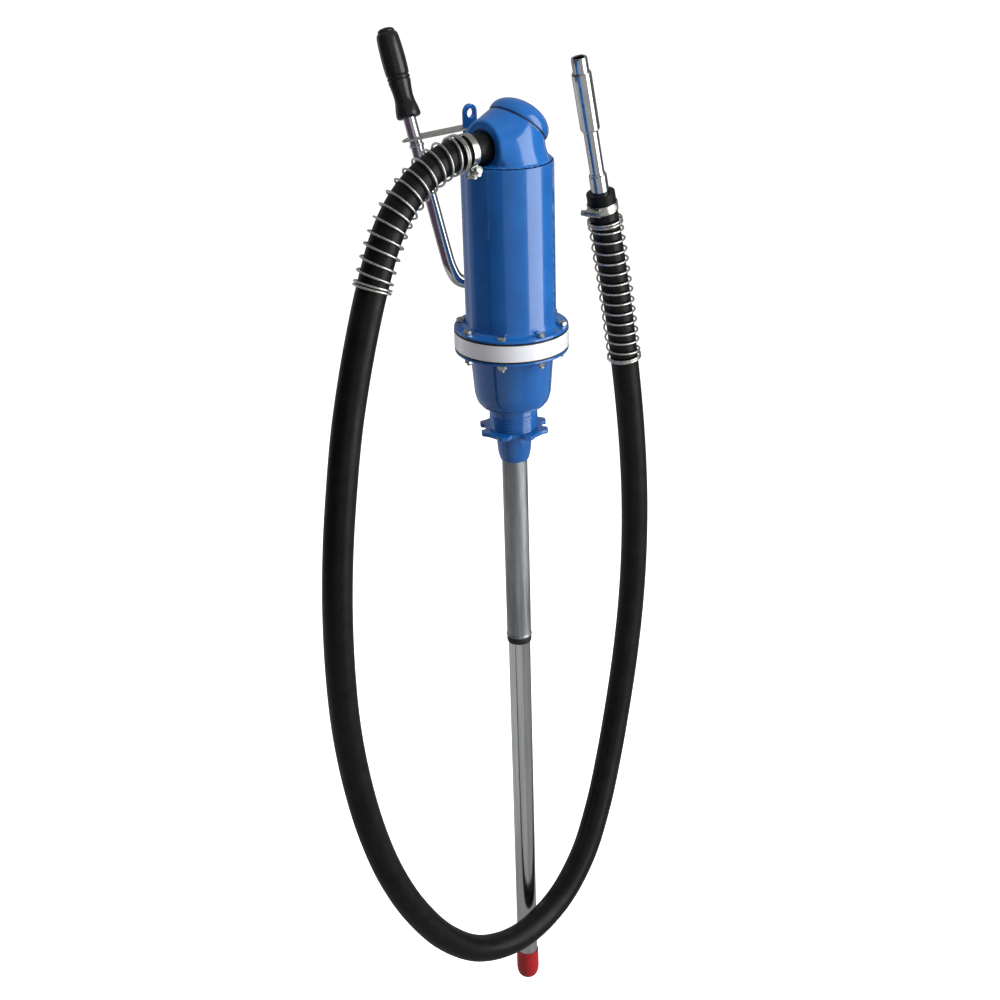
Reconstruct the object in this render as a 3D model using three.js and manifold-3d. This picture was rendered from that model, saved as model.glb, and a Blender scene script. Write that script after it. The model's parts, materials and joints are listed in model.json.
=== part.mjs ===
// A lever-operated drum barrel pump: a suction tube that screws into a drum's 2 inch bung, a pump
// body worked by a hand lever, and an outlet hose with a nozzle.
// Millimetres, +Z up. The origin is on the pump's axis at the bung seat, in the recess under the
// bowl. The outlet points along -X, the lever stands on the +Y side and the dome cap leans to +X.
import * as THREE from "three";
import { mergeVertices } from "three/addons/utils/BufferGeometryUtils.js";
import Module from "manifold-3d";

const wasm = await Module();
wasm.setup();

// ---- Driving dimensions ----

const GAP = 0.3; // clearance between pieces that touch or slide

const BOWL_SEAT_R = 35.4; // recess in the underside of the bowl, which seats on the bung
const BOWL_LIP_Z = -6; // bottom of the lip around that recess
const BOWL_TOP_R = 50.6;
const FLANGE_R = 69; // bolted flanges
const BOWL_FLANGE_Z = [65.5, 69];
const LOWER_GASKET_Z = [69.3, 70.8];
const PLATE_Z = [71.1, 90.9]; // valve plate between the flanges
const UPPER_GASKET_Z = [91.2, 92.7];
const BODY_FLANGE_Z = [93, 96.5];
const BODY_TOP_Z = 294; // seam between cylinder and head
const BODY_R = 54.5;
const BORE_R = 51;

const BOLT_COUNT = 8;
const BOLT_CIRCLE_R = 62;
const BOLT_PHASE = 36.8; // degrees from +X to the first bolt
const BOLT_R = 3; // M6
const BOLT_HOLE_R = 3.4;
const HEX_R = 5.6; // across the corners of a 10 mm hexagon, halved and rounded

const NECK_R = 29.8; // 2 inch pipe thread
const NECK_BORE_R = 25;
const NECK_BOTTOM_Z = -40;
const THREAD_PITCH = 2.309;
const THREAD_DEPTH = 0.9;
const THREAD_TURNS = 9;
const LUG_RING_Z = [-41, -36];
const LUG_RING_TURN = 51.8; // degrees from +X to the first ear

const SOCKET_R = 21.6;
const SOCKET_BOTTOM_Z = -80;
const UPPER_TUBE_R = 15.9; // 1 1/4 inch tube
const UPPER_TUBE_BORE_R = 14.8;
const UPPER_TUBE_END_Z = -333;
const LOWER_TUBE_R = 14.3;
const LOWER_TUBE_BORE_R = 13.1;
const LOWER_TUBE_TOP_Z = -265;
const LOWER_TUBE_END_Z = -892;
const CAP_TOP_Z = -861;
const CAP_BOTTOM_Z = -910;

const SHAFT_Y = 54; // cross shaft of the lever, parallel to X
const SHAFT_Z = 124;
const SHAFT_R = 6;
const SHAFT_END_X = 63;
const DRIVE_ANGLE = -27.5; // drive arm below the horizontal with the lever parked, degrees
const PIN_R = 3.5;

const LEVER_R = 8;
const LEVER_SLOPE = 0.3696; // outward lean of the rod: y gained for each z
const LEVER_REF = { y: 131.1, z: 199.7 }; // a point on the straight part of the rod
const LEVER_TOP_Z = 408;
const GRIP_BOTTOM_Z = 318.6;
const HASP_Z = 296; // where the hasp's eye sits on the rod
const HASP_TILT = 15; // degrees down from the lug to the rod
const HASP_ROLL = 12; // degrees, outlet side low
const HASP_HALF_WIDTH = 12.5;
const HASP_EYE_R = 9.1;
const HASP_EYE_PLAY = 4; // the eye is a slot, longer than round by this much
const HASP_THICKNESS = 2.5;
const LUG_Y = [60, 65.5];
const LUG_HALF_WIDTH = 9.5;
const LUG_TOP_Z = 350;
const LUG_HOLE_R = 5.6;

const OUTLET_Z = 314;
const OUTLET_FACE_X = -35; // face of the outlet horn, where the hose starts
const CAP_CENTRE = new THREE.Vector3(16.8, 0, 330.5); // centre of the dome cap's seam
const CAP_LEAN = 41; // degrees from upright toward +X
const CAP_R = 36.8;
const CAP_RISE = 27;

const HOSE_R = 18;
// Route of the hose's centreline from the outlet, down and under the pump, to the nozzle.
const HOSE_ROUTE = [
  [-35.3, 0, 314],
  [-60, 0, 314],
  [-92, 0, 310],
  [-122, 0, 298.5],
  [-149, 0, 280],
  [-171, 0, 256],
  [-188, 0, 227],
  [-204, 0, 190],
  [-219, 0, 150],
  [-237, 0, 94],
  [-254, 0, 30],
  [-268, -1, -38],
  [-280, -2, -110],
  [-289, -4, -186],
  [-294, -7, -264],
  [-294, -10, -342],
  [-288, -15, -420],
  [-276, -21, -496],
  [-256, -27, -570],
  [-225, -33, -642],
  [-180, -38, -711],
  [-121, -41, -763],
  [-48, -42, -783],
  [25, -39, -765],
  [82, -33, -719],
  [123, -24, -658],
  [154, -15, -593],
  [179, -8, -523],
  [198, -4, -450],
  [212, -1, -376],
  [219, 0, -300],
  [220, 0, -222],
  [216, 0, -146],
  [208, 0, -70],
  [197, 0, 6],
  [184, 0, 82],
  [169, 0, 156],
  [153.5, 0, 228],
];
const HOSE_STEPS = 54;
const HOSE_SIDES = 8;

const SPRING_WIRE_R = 1.4;
const SPRING_R = 21.4; // middle of the wire, loose on the hose
const SPRING_TURNS = 17;
const OUTLET_SPRING = [37, 234]; // distances along the hose
const NOZZLE_SPRING = [36, 232]; // distances back from the hose's nozzle end
const OUTLET_CLAMP_AT = 26.2;
const NOZZLE_CLAMP_AT = 19;

// ---- Materials ----

const paint = () => new THREE.MeshStandardMaterial({ color: 0x1767c8, roughness: 0.3, metalness: 0 });
const zinc = () => new THREE.MeshStandardMaterial({ color: 0xb9bcb8, roughness: 0.35, metalness: 1 });
const chrome = () => new THREE.MeshStandardMaterial({ color: 0xd5d7da, roughness: 0.12, metalness: 1 });
const galvanised = () => new THREE.MeshStandardMaterial({ color: 0x8f959a, roughness: 0.4, metalness: 1 });
const brass = () => new THREE.MeshStandardMaterial({ color: 0xc9a24a, roughness: 0.35, metalness: 1 });
const rubber = () => new THREE.MeshStandardMaterial({ color: 0x17181a, roughness: 0.55, metalness: 0 });
const gripPlastic = () => new THREE.MeshStandardMaterial({ color: 0x101112, roughness: 0.35, metalness: 0 });
const redCap = () => new THREE.MeshStandardMaterial({ color: 0xc41a20, roughness: 0.4, metalness: 0 });
const whiteBand = () => new THREE.MeshStandardMaterial({ color: 0xe9edf2, roughness: 0.3, metalness: 0 });

// ---- Helpers ----

const rad = THREE.MathUtils.degToRad;
const model = new THREE.Group();

function add(name, geometry, material, parent = model) {
  const mesh = new THREE.Mesh(geometry, material);
  mesh.name = name;
  parent.add(mesh);
  return mesh;
}

function toSolid(geometry) {
  const bare = geometry.clone();
  bare.deleteAttribute("normal");
  bare.deleteAttribute("uv");
  const merged = mergeVertices(bare, 1e-4);
  return new wasm.Manifold(
    new wasm.Mesh({
      numProp: 3,
      vertProperties: new Float32Array(merged.getAttribute("position").array),
      triVerts: new Uint32Array(merged.index.array),
    }),
  );
}

function toGeometry(solid) {
  const mesh = solid.getMesh();
  const geometry = new THREE.BufferGeometry();
  geometry.setAttribute("position", new THREE.BufferAttribute(mesh.vertProperties, 3));
  geometry.setIndex(new THREE.BufferAttribute(mesh.triVerts, 1));
  geometry.computeVertexNormals();
  return geometry;
}

function joined(first, ...rest) {
  return toGeometry(rest.reduce((sum, item) => sum.add(toSolid(item)), toSolid(first)));
}

function cut(body, ...tools) {
  return toGeometry(tools.reduce((left, tool) => left.subtract(toSolid(tool)), toSolid(body)));
}

// An outline of [radius, z] points turned about Z. One that doesn't end on the axis is closed.
function turned(outline, segments = 32) {
  const points = outline.map(([r, z]) => new THREE.Vector2(r, z));
  const onAxis = outline[0][0] === 0 && outline[outline.length - 1][0] === 0;
  if (!onAxis) points.push(points[0].clone());
  const area = points.reduce((sum, p, i) => {
    const q = points[(i + 1) % points.length];
    return sum + p.x * q.y - q.x * p.y;
  }, 0);
  if (area < 0) points.reverse();
  return new THREE.LatheGeometry(points, segments).rotateX(Math.PI / 2);
}

function ring(outer, inner, z0, z1, segments = 32) {
  const outline = [
    [inner, z0],
    [outer, z0],
    [outer, z1],
    [inner, z1],
  ];
  return turned(outline, segments);
}

function rod(radius, z0, z1, segments = 24) {
  const geometry = new THREE.CylinderGeometry(radius, radius, z1 - z0, segments);
  return geometry.rotateX(Math.PI / 2).translate(0, 0, (z0 + z1) / 2);
}

function box(x0, x1, y0, y1, z0, z1) {
  const geometry = new THREE.BoxGeometry(x1 - x0, y1 - y0, z1 - z0);
  return geometry.translate((x0 + x1) / 2, (y0 + y1) / 2, (z0 + z1) / 2);
}

// A flat outline with holes, from z0 up to z1.
function plate(shape, z0, z1, curveSegments = 10) {
  const options = { depth: z1 - z0, bevelEnabled: false, curveSegments };
  return new THREE.ExtrudeGeometry(shape, options).translate(0, 0, z0);
}

function circleHole(x, y, radius) {
  return new THREE.Path().absarc(x, y, radius, 0, 2 * Math.PI, true);
}

// Moves Z-axis geometry so that its axis runs along X through (y, z).
const alongX = (geometry, y, z) => geometry.rotateY(Math.PI / 2).translate(0, y, z);

// Moves Z-axis geometry so that its axis runs along `direction` from `origin`.
function aimed(geometry, origin, direction) {
  const up = new THREE.Vector3(0, 0, 1);
  const turn = new THREE.Quaternion().setFromUnitVectors(up, direction.clone().normalize());
  const matrix = new THREE.Matrix4().compose(origin, turn, new THREE.Vector3(1, 1, 1));
  return geometry.applyMatrix4(matrix);
}

function sweep(curve, section, steps) {
  return new THREE.ExtrudeGeometry(section, { steps, extrudePath: curve, curveSegments: 1 });
}

function polygon(radius, sides, Kind = THREE.Shape) {
  const outline = new Kind();
  for (let i = 0; i < sides; i++) {
    const angle = (2 * Math.PI * i) / sides;
    const [x, y] = [radius * Math.cos(angle), radius * Math.sin(angle)];
    if (i === 0) outline.moveTo(x, y);
    else outline.lineTo(x, y);
  }
  outline.closePath();
  return outline;
}

function boltPlaces() {
  const places = [];
  for (let i = 0; i < BOLT_COUNT; i++) {
    const angle = rad(BOLT_PHASE + (360 * i) / BOLT_COUNT);
    places.push([BOLT_CIRCLE_R * Math.cos(angle), BOLT_CIRCLE_R * Math.sin(angle)]);
  }
  return places;
}

const boltHoles = (z0, z1) =>
  boltPlaces().map(([x, y]) => rod(BOLT_HOLE_R, z0, z1, 8).translate(x, y, 0));

// ---- Bowl, gaskets and valve plate ----

function makeBowl() {
  const outline = [
    [NECK_R + GAP, 0],
    [BOWL_SEAT_R, 0],
    [BOWL_SEAT_R, BOWL_LIP_Z],
    [39.7, BOWL_LIP_Z],
    [40.5, BOWL_LIP_Z + 1.5],
    [43.4, -1.3],
    [45.4, 4],
    [46.9, 11],
    [47.8, 24],
    [49.4, 45],
    [BOWL_TOP_R, 61],
    [52.6, BOWL_FLANGE_Z[0]],
    [FLANGE_R - 1.2, BOWL_FLANGE_Z[0]],
    [FLANGE_R, BOWL_FLANGE_Z[0] + 1.2],
    [FLANGE_R, BOWL_FLANGE_Z[1]],
    [45, BOWL_FLANGE_Z[1]],
    [42, 28],
    [37, 10],
    [NECK_R + GAP, 7],
  ];
  return cut(turned(outline, 28), ...boltHoles(50, 80));
}

function makeGasket([z0, z1]) {
  return cut(ring(FLANGE_R + 0.3, BORE_R, z0, z1, 28), ...boltHoles(z0 - 1, z1 + 1));
}

// The valve plate is a spacer ring with a web that carries the foot valve over its ports.
function makeValvePlate() {
  const web = [76, 82];
  const outline = [
    [0, web[0]],
    [BORE_R, web[0]],
    [BORE_R, PLATE_Z[0]],
    [FLANGE_R - 1, PLATE_Z[0]],
    [FLANGE_R - 1, PLATE_Z[1]],
    [BORE_R, PLATE_Z[1]],
    [BORE_R, web[1]],
    [0, web[1]],
  ];
  const ports = [];
  for (let i = 0; i < 6; i++) {
    const angle = (Math.PI * i) / 3;
    ports.push(rod(5, 70, 90, 8).translate(13 * Math.cos(angle), 13 * Math.sin(angle), 0));
  }
  return cut(turned(outline, 32), rod(3.4, 70, 90, 8), ...ports, ...boltHoles(70, 92));
}

function makeFootValve() {
  const outline = [
    [0, 66],
    [3, 66],
    [3, 82.3],
    [21, 82.3],
    [21, 84.5],
    [18, 85.5],
    [0, 85.5],
  ];
  return turned(outline, 16);
}

add("bowl", makeBowl(), paint());
add("lower_gasket", makeGasket(LOWER_GASKET_Z), rubber());
add("valve_plate", makeValvePlate(), zinc());
add("upper_gasket", makeGasket(UPPER_GASKET_Z), rubber());
add("label_band", ring(FLANGE_R + 0.3, FLANGE_R - 1 + GAP, PLATE_Z[0], PLATE_Z[1], 32), whiteBand());
add("foot_valve", makeFootValve(), brass());

// ---- Neck, lug ring, tube socket and the two suction tubes ----

function makeNeck() {
  const outline = [
    [NECK_BORE_R, NECK_BOTTOM_Z],
    [NECK_R - THREAD_DEPTH, NECK_BOTTOM_Z],
  ];
  for (let i = 0; i < THREAD_TURNS; i++) {
    const z = NECK_BOTTOM_Z + 1 + i * THREAD_PITCH;
    outline.push([NECK_R - THREAD_DEPTH, z]);
    outline.push([NECK_R, z + THREAD_PITCH * 0.5]);
  }
  const threadEnd = NECK_BOTTOM_Z + 1 + THREAD_TURNS * THREAD_PITCH;
  outline.push([NECK_R, threadEnd], [NECK_R, 6.5], [NECK_BORE_R, 6.5]);
  return turned(outline, 20);
}

// The lug ring locks the pump in the bung: a thin nut with four notched ears to strike or grip.
function makeLugRing() {
  const earTip = 40.8;
  const notch = 34.8;
  const outline = new THREE.Shape();
  for (let i = 0; i < 4; i++) {
    const turn = new THREE.Vector2(Math.cos((Math.PI * i) / 2), Math.sin((Math.PI * i) / 2));
    const at = (out, side) => [out * turn.x - side * turn.y, out * turn.y + side * turn.x];
    if (i === 0) outline.moveTo(...at(32, -25));
    outline.quadraticCurveTo(...at(35.5, -22.5), ...at(38, -21.5));
    outline.quadraticCurveTo(...at(earTip + 1.4, -19.5), ...at(earTip, -14));
    outline.quadraticCurveTo(...at(earTip + 0.6, -8.5), ...at(39, -8.4));
    outline.quadraticCurveTo(...at(notch, -6.5), ...at(notch, 0));
    outline.quadraticCurveTo(...at(notch, 6.5), ...at(39, 8.4));
    outline.quadraticCurveTo(...at(earTip + 0.6, 8.5), ...at(earTip, 14));
    outline.quadraticCurveTo(...at(earTip + 1.4, 19.5), ...at(38, 21.5));
    outline.quadraticCurveTo(...at(35.5, 22.5), ...at(32, 25));
    outline.lineTo(...at(25, 32));
  }
  outline.holes.push(polygon((NECK_R + GAP) / Math.cos(Math.PI / 20), 20, THREE.Path));
  return plate(outline, LUG_RING_Z[0], LUG_RING_Z[1], 3).rotateZ(rad(LUG_RING_TURN));
}

function makeSocket() {
  const outline = [
    [UPPER_TUBE_R + 2 * GAP, SOCKET_BOTTOM_Z],
    [17.6, SOCKET_BOTTOM_Z],
    [19.4, SOCKET_BOTTOM_Z + 4],
    [21, SOCKET_BOTTOM_Z + 13],
    [SOCKET_R, SOCKET_BOTTOM_Z + 24],
    [SOCKET_R, NECK_BOTTOM_Z - 2],
    [NECK_BORE_R - GAP, NECK_BOTTOM_Z - 0.5],
    [NECK_BORE_R - GAP, NECK_BOTTOM_Z + 18],
    [UPPER_TUBE_BORE_R, NECK_BOTTOM_Z + 18],
    [UPPER_TUBE_BORE_R, -44 + GAP],
    [UPPER_TUBE_R + 2 * GAP, -44 + GAP],
  ];
  return turned(outline, 20);
}

function makeUpperTube() {
  const outline = [
    [UPPER_TUBE_BORE_R, UPPER_TUBE_END_Z],
    [UPPER_TUBE_R + 0.5, UPPER_TUBE_END_Z],
    [UPPER_TUBE_R + 0.9, UPPER_TUBE_END_Z + 1.5],
    [UPPER_TUBE_R + 0.5, UPPER_TUBE_END_Z + 3],
    [UPPER_TUBE_R, UPPER_TUBE_END_Z + 4],
    [UPPER_TUBE_R, -44],
    [UPPER_TUBE_BORE_R, -44],
  ];
  return turned(outline, 24);
}

function makeTubeSeal() {
  const top = UPPER_TUBE_END_Z - GAP;
  const outline = [
    [LOWER_TUBE_R + 0.15, top - 8],
    [LOWER_TUBE_R + 1, top - 8.4],
    [LOWER_TUBE_R + 1.8, top - 7],
    [LOWER_TUBE_R + 1.9, top],
    [LOWER_TUBE_R + 0.15, top],
  ];
  return turned(outline, 24);
}

function makeEndCap() {
  const outline = [
    [0, CAP_BOTTOM_Z],
    [6, CAP_BOTTOM_Z + 0.6],
    [11.5, CAP_BOTTOM_Z + 3.4],
    [14.8, CAP_BOTTOM_Z + 8.5],
    [15.9, CAP_BOTTOM_Z + 16],
    [15.9, CAP_TOP_Z - 1],
    [15.4, CAP_TOP_Z],
    [LOWER_TUBE_R + GAP, CAP_TOP_Z],
    [LOWER_TUBE_R + GAP, LOWER_TUBE_END_Z - GAP],
    [0, LOWER_TUBE_END_Z - GAP],
  ];
  return turned(outline, 24);
}

add("bung_neck", makeNeck(), paint());
add("lug_ring", makeLugRing(), paint());
add("tube_socket", makeSocket(), paint());
add("upper_tube", makeUpperTube(), galvanised());
add("tube_seal", makeTubeSeal(), rubber());
const lowerTube = ring(LOWER_TUBE_R, LOWER_TUBE_BORE_R, LOWER_TUBE_END_Z, LOWER_TUBE_TOP_Z, 24);
add("lower_tube", lowerTube, chrome());
add("end_cap", makeEndCap(), redCap());

// ---- Cylinder with its flange and shaft housing ----

const HOUSING_R = 15;
const HOUSING_X = [-13, 36];
const POCKET_R = 9; // bore for the bush, the seal and the gland nut's spigot

function makeCylinder() {
  const outline = [
    [BORE_R, BODY_FLANGE_Z[0]],
    [FLANGE_R, BODY_FLANGE_Z[0]],
    [FLANGE_R, BODY_FLANGE_Z[1] - 1.5],
    [FLANGE_R - 1.5, BODY_FLANGE_Z[1]],
    [56.2, BODY_FLANGE_Z[1]],
    [BODY_R, BODY_FLANGE_Z[1] + 4],
    [BODY_R, BODY_TOP_Z - 1.6],
    [BODY_R - 1.4, BODY_TOP_Z],
    [BORE_R, BODY_TOP_Z],
  ];
  const shell = turned(outline, 36);
  const housing = alongX(rod(HOUSING_R, HOUSING_X[0], HOUSING_X[1], 20), SHAFT_Y, SHAFT_Z);
  const web = box(...HOUSING_X, 40, SHAFT_Y, SHAFT_Z - HOUSING_R, SHAFT_Z + HOUSING_R);
  const inside = rod(BORE_R, BODY_FLANGE_Z[0] - 1, BODY_TOP_Z + 1, 36);
  const armRoom = alongX(rod(12.2, -7, 7, 16), SHAFT_Y, SHAFT_Z);
  const armWindow = box(-7, 7, 35, 52, SHAFT_Z - 17, SHAFT_Z + 17);
  const endBearing = alongX(rod(SHAFT_R + GAP, -10, -6, 12), SHAFT_Y, SHAFT_Z);
  const pocket = alongX(rod(POCKET_R, 6, HOUSING_X[1] + 1, 16), SHAFT_Y, SHAFT_Z);
  const outer = joined(shell, housing, web);
  return cut(outer, inside, armRoom, armWindow, endBearing, pocket, ...boltHoles(90, 102));
}

add("cylinder", makeCylinder(), paint());

// ---- Flange bolts and nuts ----

const boltTop = BODY_FLANGE_Z[1] + GAP;
const nutTop = BOWL_FLANGE_Z[0] - GAP;
const NUT_HEIGHT = 5;
const HEAD_HEIGHT = 4.5;

boltPlaces().forEach(([x, y], i) => {
  const head = rod(HEX_R, boltTop, boltTop + HEAD_HEIGHT, 6);
  const shank = rod(BOLT_R, nutTop - NUT_HEIGHT - 3, boltTop + 1, 8);
  add(`flange_bolt_${i + 1}`, joined(head, shank), zinc()).position.set(x, y, 0);
  const nut = polygon(HEX_R, 6);
  nut.holes.push(circleHole(0, 0, BOLT_R + 2 * GAP));
  const nutMesh = add(`flange_nut_${i + 1}`, plate(nut, nutTop - NUT_HEIGHT, nutTop, 3), zinc());
  nutMesh.position.set(x, y, 0);
  nutMesh.rotation.z = rad(17 * i);
});

// ---- Head, dome cap and outlet ----

const capAxis = new THREE.Vector3(Math.sin(rad(CAP_LEAN)), 0, Math.cos(rad(CAP_LEAN)));
const capSide = new THREE.Vector3(Math.cos(rad(CAP_LEAN)), 0, -Math.sin(rad(CAP_LEAN)));

// The body of the head runs from an upright base circle to the leaning seam of the dome cap. Each
// side line leaves the base upright and meets the seam square, and the outlet side draws in early.
function headBody(baseR, baseZ, seamR, seamShift, bulge, around = 32, rows = 6) {
  const positions = [];
  for (let j = 0; j <= rows; j++) {
    const t = j / rows;
    for (let i = 0; i < around; i++) {
      const angle = (2 * Math.PI * i) / around;
      const [c, s] = [Math.cos(angle), Math.sin(angle)];
      const start = new THREE.Vector3(baseR * c, baseR * s, baseZ);
      const end = CAP_CENTRE.clone().addScaledVector(capAxis, seamShift);
      end.addScaledVector(capSide, seamR * c).add(new THREE.Vector3(0, seamR * s, 0));
      const span = start.distanceTo(end);
      const outletSide = Math.max(0, -c);
      const leave = new THREE.Vector3(0, 0, bulge * span * (1 - 0.8 * outletSide));
      leave.x += 45 * outletSide;
      const arrive = capAxis.clone().multiplyScalar((0.7 + 0.15 * outletSide) * span);
      const point = start.multiplyScalar(2 * t ** 3 - 3 * t ** 2 + 1);
      point.addScaledVector(leave, t ** 3 - 2 * t ** 2 + t);
      point.addScaledVector(end, -2 * t ** 3 + 3 * t ** 2);
      point.addScaledVector(arrive, t ** 3 - t ** 2);
      positions.push(point.x, point.y, point.z);
    }
  }
  return closedLoft(positions, around, rows);
}

// Rows of points around a closed section become a skin with a flat fan at each end.
function closedLoft(positions, around, rows) {
  const index = [];
  const at = (row, i) => row * around + (i % around);
  for (let j = 0; j < rows; j++) {
    for (let i = 0; i < around; i++) {
      index.push(at(j, i), at(j, i + 1), at(j + 1, i + 1));
      index.push(at(j, i), at(j + 1, i + 1), at(j + 1, i));
    }
  }
  for (let i = 1; i < around - 1; i++) {
    index.push(at(0, 0), at(0, i + 1), at(0, i));
    index.push(at(rows, 0), at(rows, i), at(rows, i + 1));
  }
  const geometry = new THREE.BufferGeometry();
  geometry.setAttribute("position", new THREE.Float32BufferAttribute(positions, 3));
  geometry.setIndex(index);
  return geometry;
}

function makeHead() {
  const base = BODY_TOP_Z + GAP;
  const skirt = rod(52.6, base, base + 3.5, 32);
  const body = headBody(52.6, base + 3, CAP_R - 0.4, 0, 0.9);
  const hornOutline = [
    [0, 4],
    [36, 4],
    [34.8, 14],
    [33, 23],
    [30.2, 30],
    [26.5, 34],
    [22.5, -OUTLET_FACE_X],
    [0, -OUTLET_FACE_X],
  ];
  const toOutlet = new THREE.Vector3(-1, 0, 0);
  const outletCentre = new THREE.Vector3(0, 0, OUTLET_Z);
  const horn = aimed(turned(hornOutline, 24), outletCentre.clone(), toOutlet);
  const lugShape = new THREE.Shape();
  lugShape.moveTo(-LUG_HALF_WIDTH, 300);
  lugShape.lineTo(LUG_HALF_WIDTH, 300);
  const lugCentreZ = LUG_TOP_Z - LUG_HALF_WIDTH;
  lugShape.absarc(0, lugCentreZ, LUG_HALF_WIDTH, 0, Math.PI, false);
  lugShape.closePath();
  lugShape.holes.push(circleHole(0, lugCentreZ - 1, LUG_HOLE_R));
  const lug = plate(lugShape, -LUG_Y[1], -LUG_Y[0], 10).rotateX(Math.PI / 2);
  const lugWeb = box(-8, 8, 42, LUG_Y[0] + 1, 300.5, 312);
  const outer = joined(skirt, body, horn, lugWeb, lug);
  const below = box(-80, 80, -80, 80, 200, base);
  const hoseRoom = rod(HOSE_R + 2.5, -OUTLET_FACE_X, 80, 24);
  const trimmed = cut(outer, below, aimed(hoseRoom, outletCentre.clone(), toOutlet));
  const spigot = rod(BORE_R - GAP, base - 12, base + 1, 32);
  const hollow = headBody(45.5, base - 13, CAP_R - 5.4, 3, 0.6, 20, 4);
  const bore = aimed(rod(16.5, 5, 60, 16), outletCentre.clone(), toOutlet);
  return cut(joined(trimmed, spigot), hollow, bore);
}

function makeDomeCap() {
  const steps = 5;
  const outline = [[CAP_R - 5, 1.8]];
  outline.push([CAP_R, 1.8], [CAP_R + 0.3, 4.5]);
  for (let i = 1; i <= steps; i++) {
    const angle = (Math.PI / 2) * (i / steps);
    outline.push([(CAP_R + 0.3) * Math.cos(angle), 4.5 + (CAP_RISE - 4.5) * Math.sin(angle)]);
  }
  outline[outline.length - 1][0] = 0;
  const inner = [[0, CAP_RISE - 4.5]];
  for (let i = steps - 1; i >= 0; i--) {
    const angle = (Math.PI / 2) * (i / steps);
    inner.push([(CAP_R - 5) * Math.cos(angle), 4.5 + (CAP_RISE - 9) * Math.sin(angle)]);
  }
  const shell = [...outline.reverse(), ...inner.reverse()];
  return aimed(turned(shell, 24), CAP_CENTRE.clone(), capAxis);
}

add("head_casting", makeHead(), paint());
add("dome_gasket", aimed(ring(CAP_R - 0.2, CAP_R - 5, 0.3, 1.5, 24), CAP_CENTRE.clone(), capAxis), rubber());
add("dome_cap", makeDomeCap(), paint());

// The outlet adapter screws into the horn. The hose pushes against its shoulder.
function makeOutletAdapter() {
  const end = -OUTLET_FACE_X - GAP;
  const outline = [
    [9.4, end - 9],
    [16.2, end - 9],
    [16.2, end],
    [9.4, end],
  ];
  const centre = new THREE.Vector3(0, 0, OUTLET_Z);
  return aimed(turned(outline, 16), centre, new THREE.Vector3(-1, 0, 0));
}

add("outlet_adapter", makeOutletAdapter(), zinc());

// ---- Shaft, its bearing and the piston drive ----

const onShaft = (geometry) => alongX(geometry, SHAFT_Y, SHAFT_Z);

add("cross_shaft", onShaft(rod(SHAFT_R, -9.7, SHAFT_END_X, 16)), chrome());
add("shaft_bush", onShaft(ring(POCKET_R - GAP, SHAFT_R + GAP, 7.3, 27.7, 16)), brass());
add("shaft_seal", onShaft(ring(POCKET_R - GAP, SHAFT_R + GAP, 28, 32.7, 16)), rubber());

function makeGlandNut() {
  const hexagon = rod(12.5, HOUSING_X[1] + GAP, HOUSING_X[1] + 8, 6);
  const spigot = rod(POCKET_R - GAP, 33, HOUSING_X[1] + 2, 20);
  return cut(joined(hexagon, spigot), rod(SHAFT_R + GAP, 30, 50, 16));
}

add("gland_nut", onShaft(makeGlandNut()), zinc());

// The drive arm is clamped on the shaft. Its pin rides in the crosshead's slot.
function makeDriveArm() {
  const length = SHAFT_Y;
  const outline = new THREE.Shape();
  outline.absarc(0, 0, 9.5, -Math.PI / 2, Math.PI / 2, false);
  outline.lineTo(-(length - 2), 5.5);
  outline.absarc(-length, 0, 5.8, Math.PI / 2, 1.5 * Math.PI, false);
  outline.closePath();
  outline.holes.push(circleHole(0, 0, SHAFT_R + 0.1));
  const arm = plate(outline, -5, 5, 8);
  const pin = rod(PIN_R, -13, 13, 16).translate(-length, 0, 0);
  return joined(arm, pin);
}

// Shape coordinates (x, y) of the arm become part coordinates (y, z) about the shaft.
function placedDriveArm() {
  const arm = makeDriveArm();
  arm.rotateZ(rad(-DRIVE_ANGLE));
  arm.rotateX(Math.PI / 2).rotateZ(Math.PI / 2);
  return arm.translate(0, SHAFT_Y, SHAFT_Z);
}

add("drive_arm", placedDriveArm(), zinc());

const PIN_Z = SHAFT_Z + SHAFT_Y * Math.sin(rad(DRIVE_ANGLE)); // pin height with the lever parked
const PISTON_Z = 188; // underside of the piston with the lever parked
const PISTON_THICKNESS = 12;

// Two slotted cheeks hang from a bridge. The slots run along Y, as the pin swings in and out.
function makeCrosshead() {
  const cheek = new THREE.Shape();
  cheek.moveTo(-12, PIN_Z - 8);
  cheek.lineTo(17, PIN_Z - 8);
  cheek.lineTo(17, PIN_Z + 8.5);
  cheek.lineTo(8, PIN_Z + 28);
  cheek.lineTo(-8, PIN_Z + 28);
  cheek.lineTo(-12, PIN_Z + 8.5);
  cheek.closePath();
  const slotHalf = PIN_R + 0.8;
  const slot = new THREE.Path();
  slot.moveTo(0, PIN_Z - slotHalf);
  slot.absarc(0, PIN_Z, slotHalf, -Math.PI / 2, Math.PI / 2, true);
  slot.lineTo(9, PIN_Z + slotHalf);
  slot.absarc(9, PIN_Z, slotHalf, Math.PI / 2, -Math.PI / 2, true);
  slot.closePath();
  cheek.holes.push(slot);
  const upright = (x0, x1) => {
    const geometry = plate(cheek, x0, x1, 6);
    return geometry.rotateX(Math.PI / 2).rotateZ(Math.PI / 2);
  };
  const bridge = box(-11.9, 11.9, -8, 8, PIN_Z + 20, PIN_Z + 28);
  const body = joined(upright(6.5, 12), upright(-12, -6.5), bridge);
  return cut(body, rod(5.2, PIN_Z + 22, PIN_Z + 30, 16));
}

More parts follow.
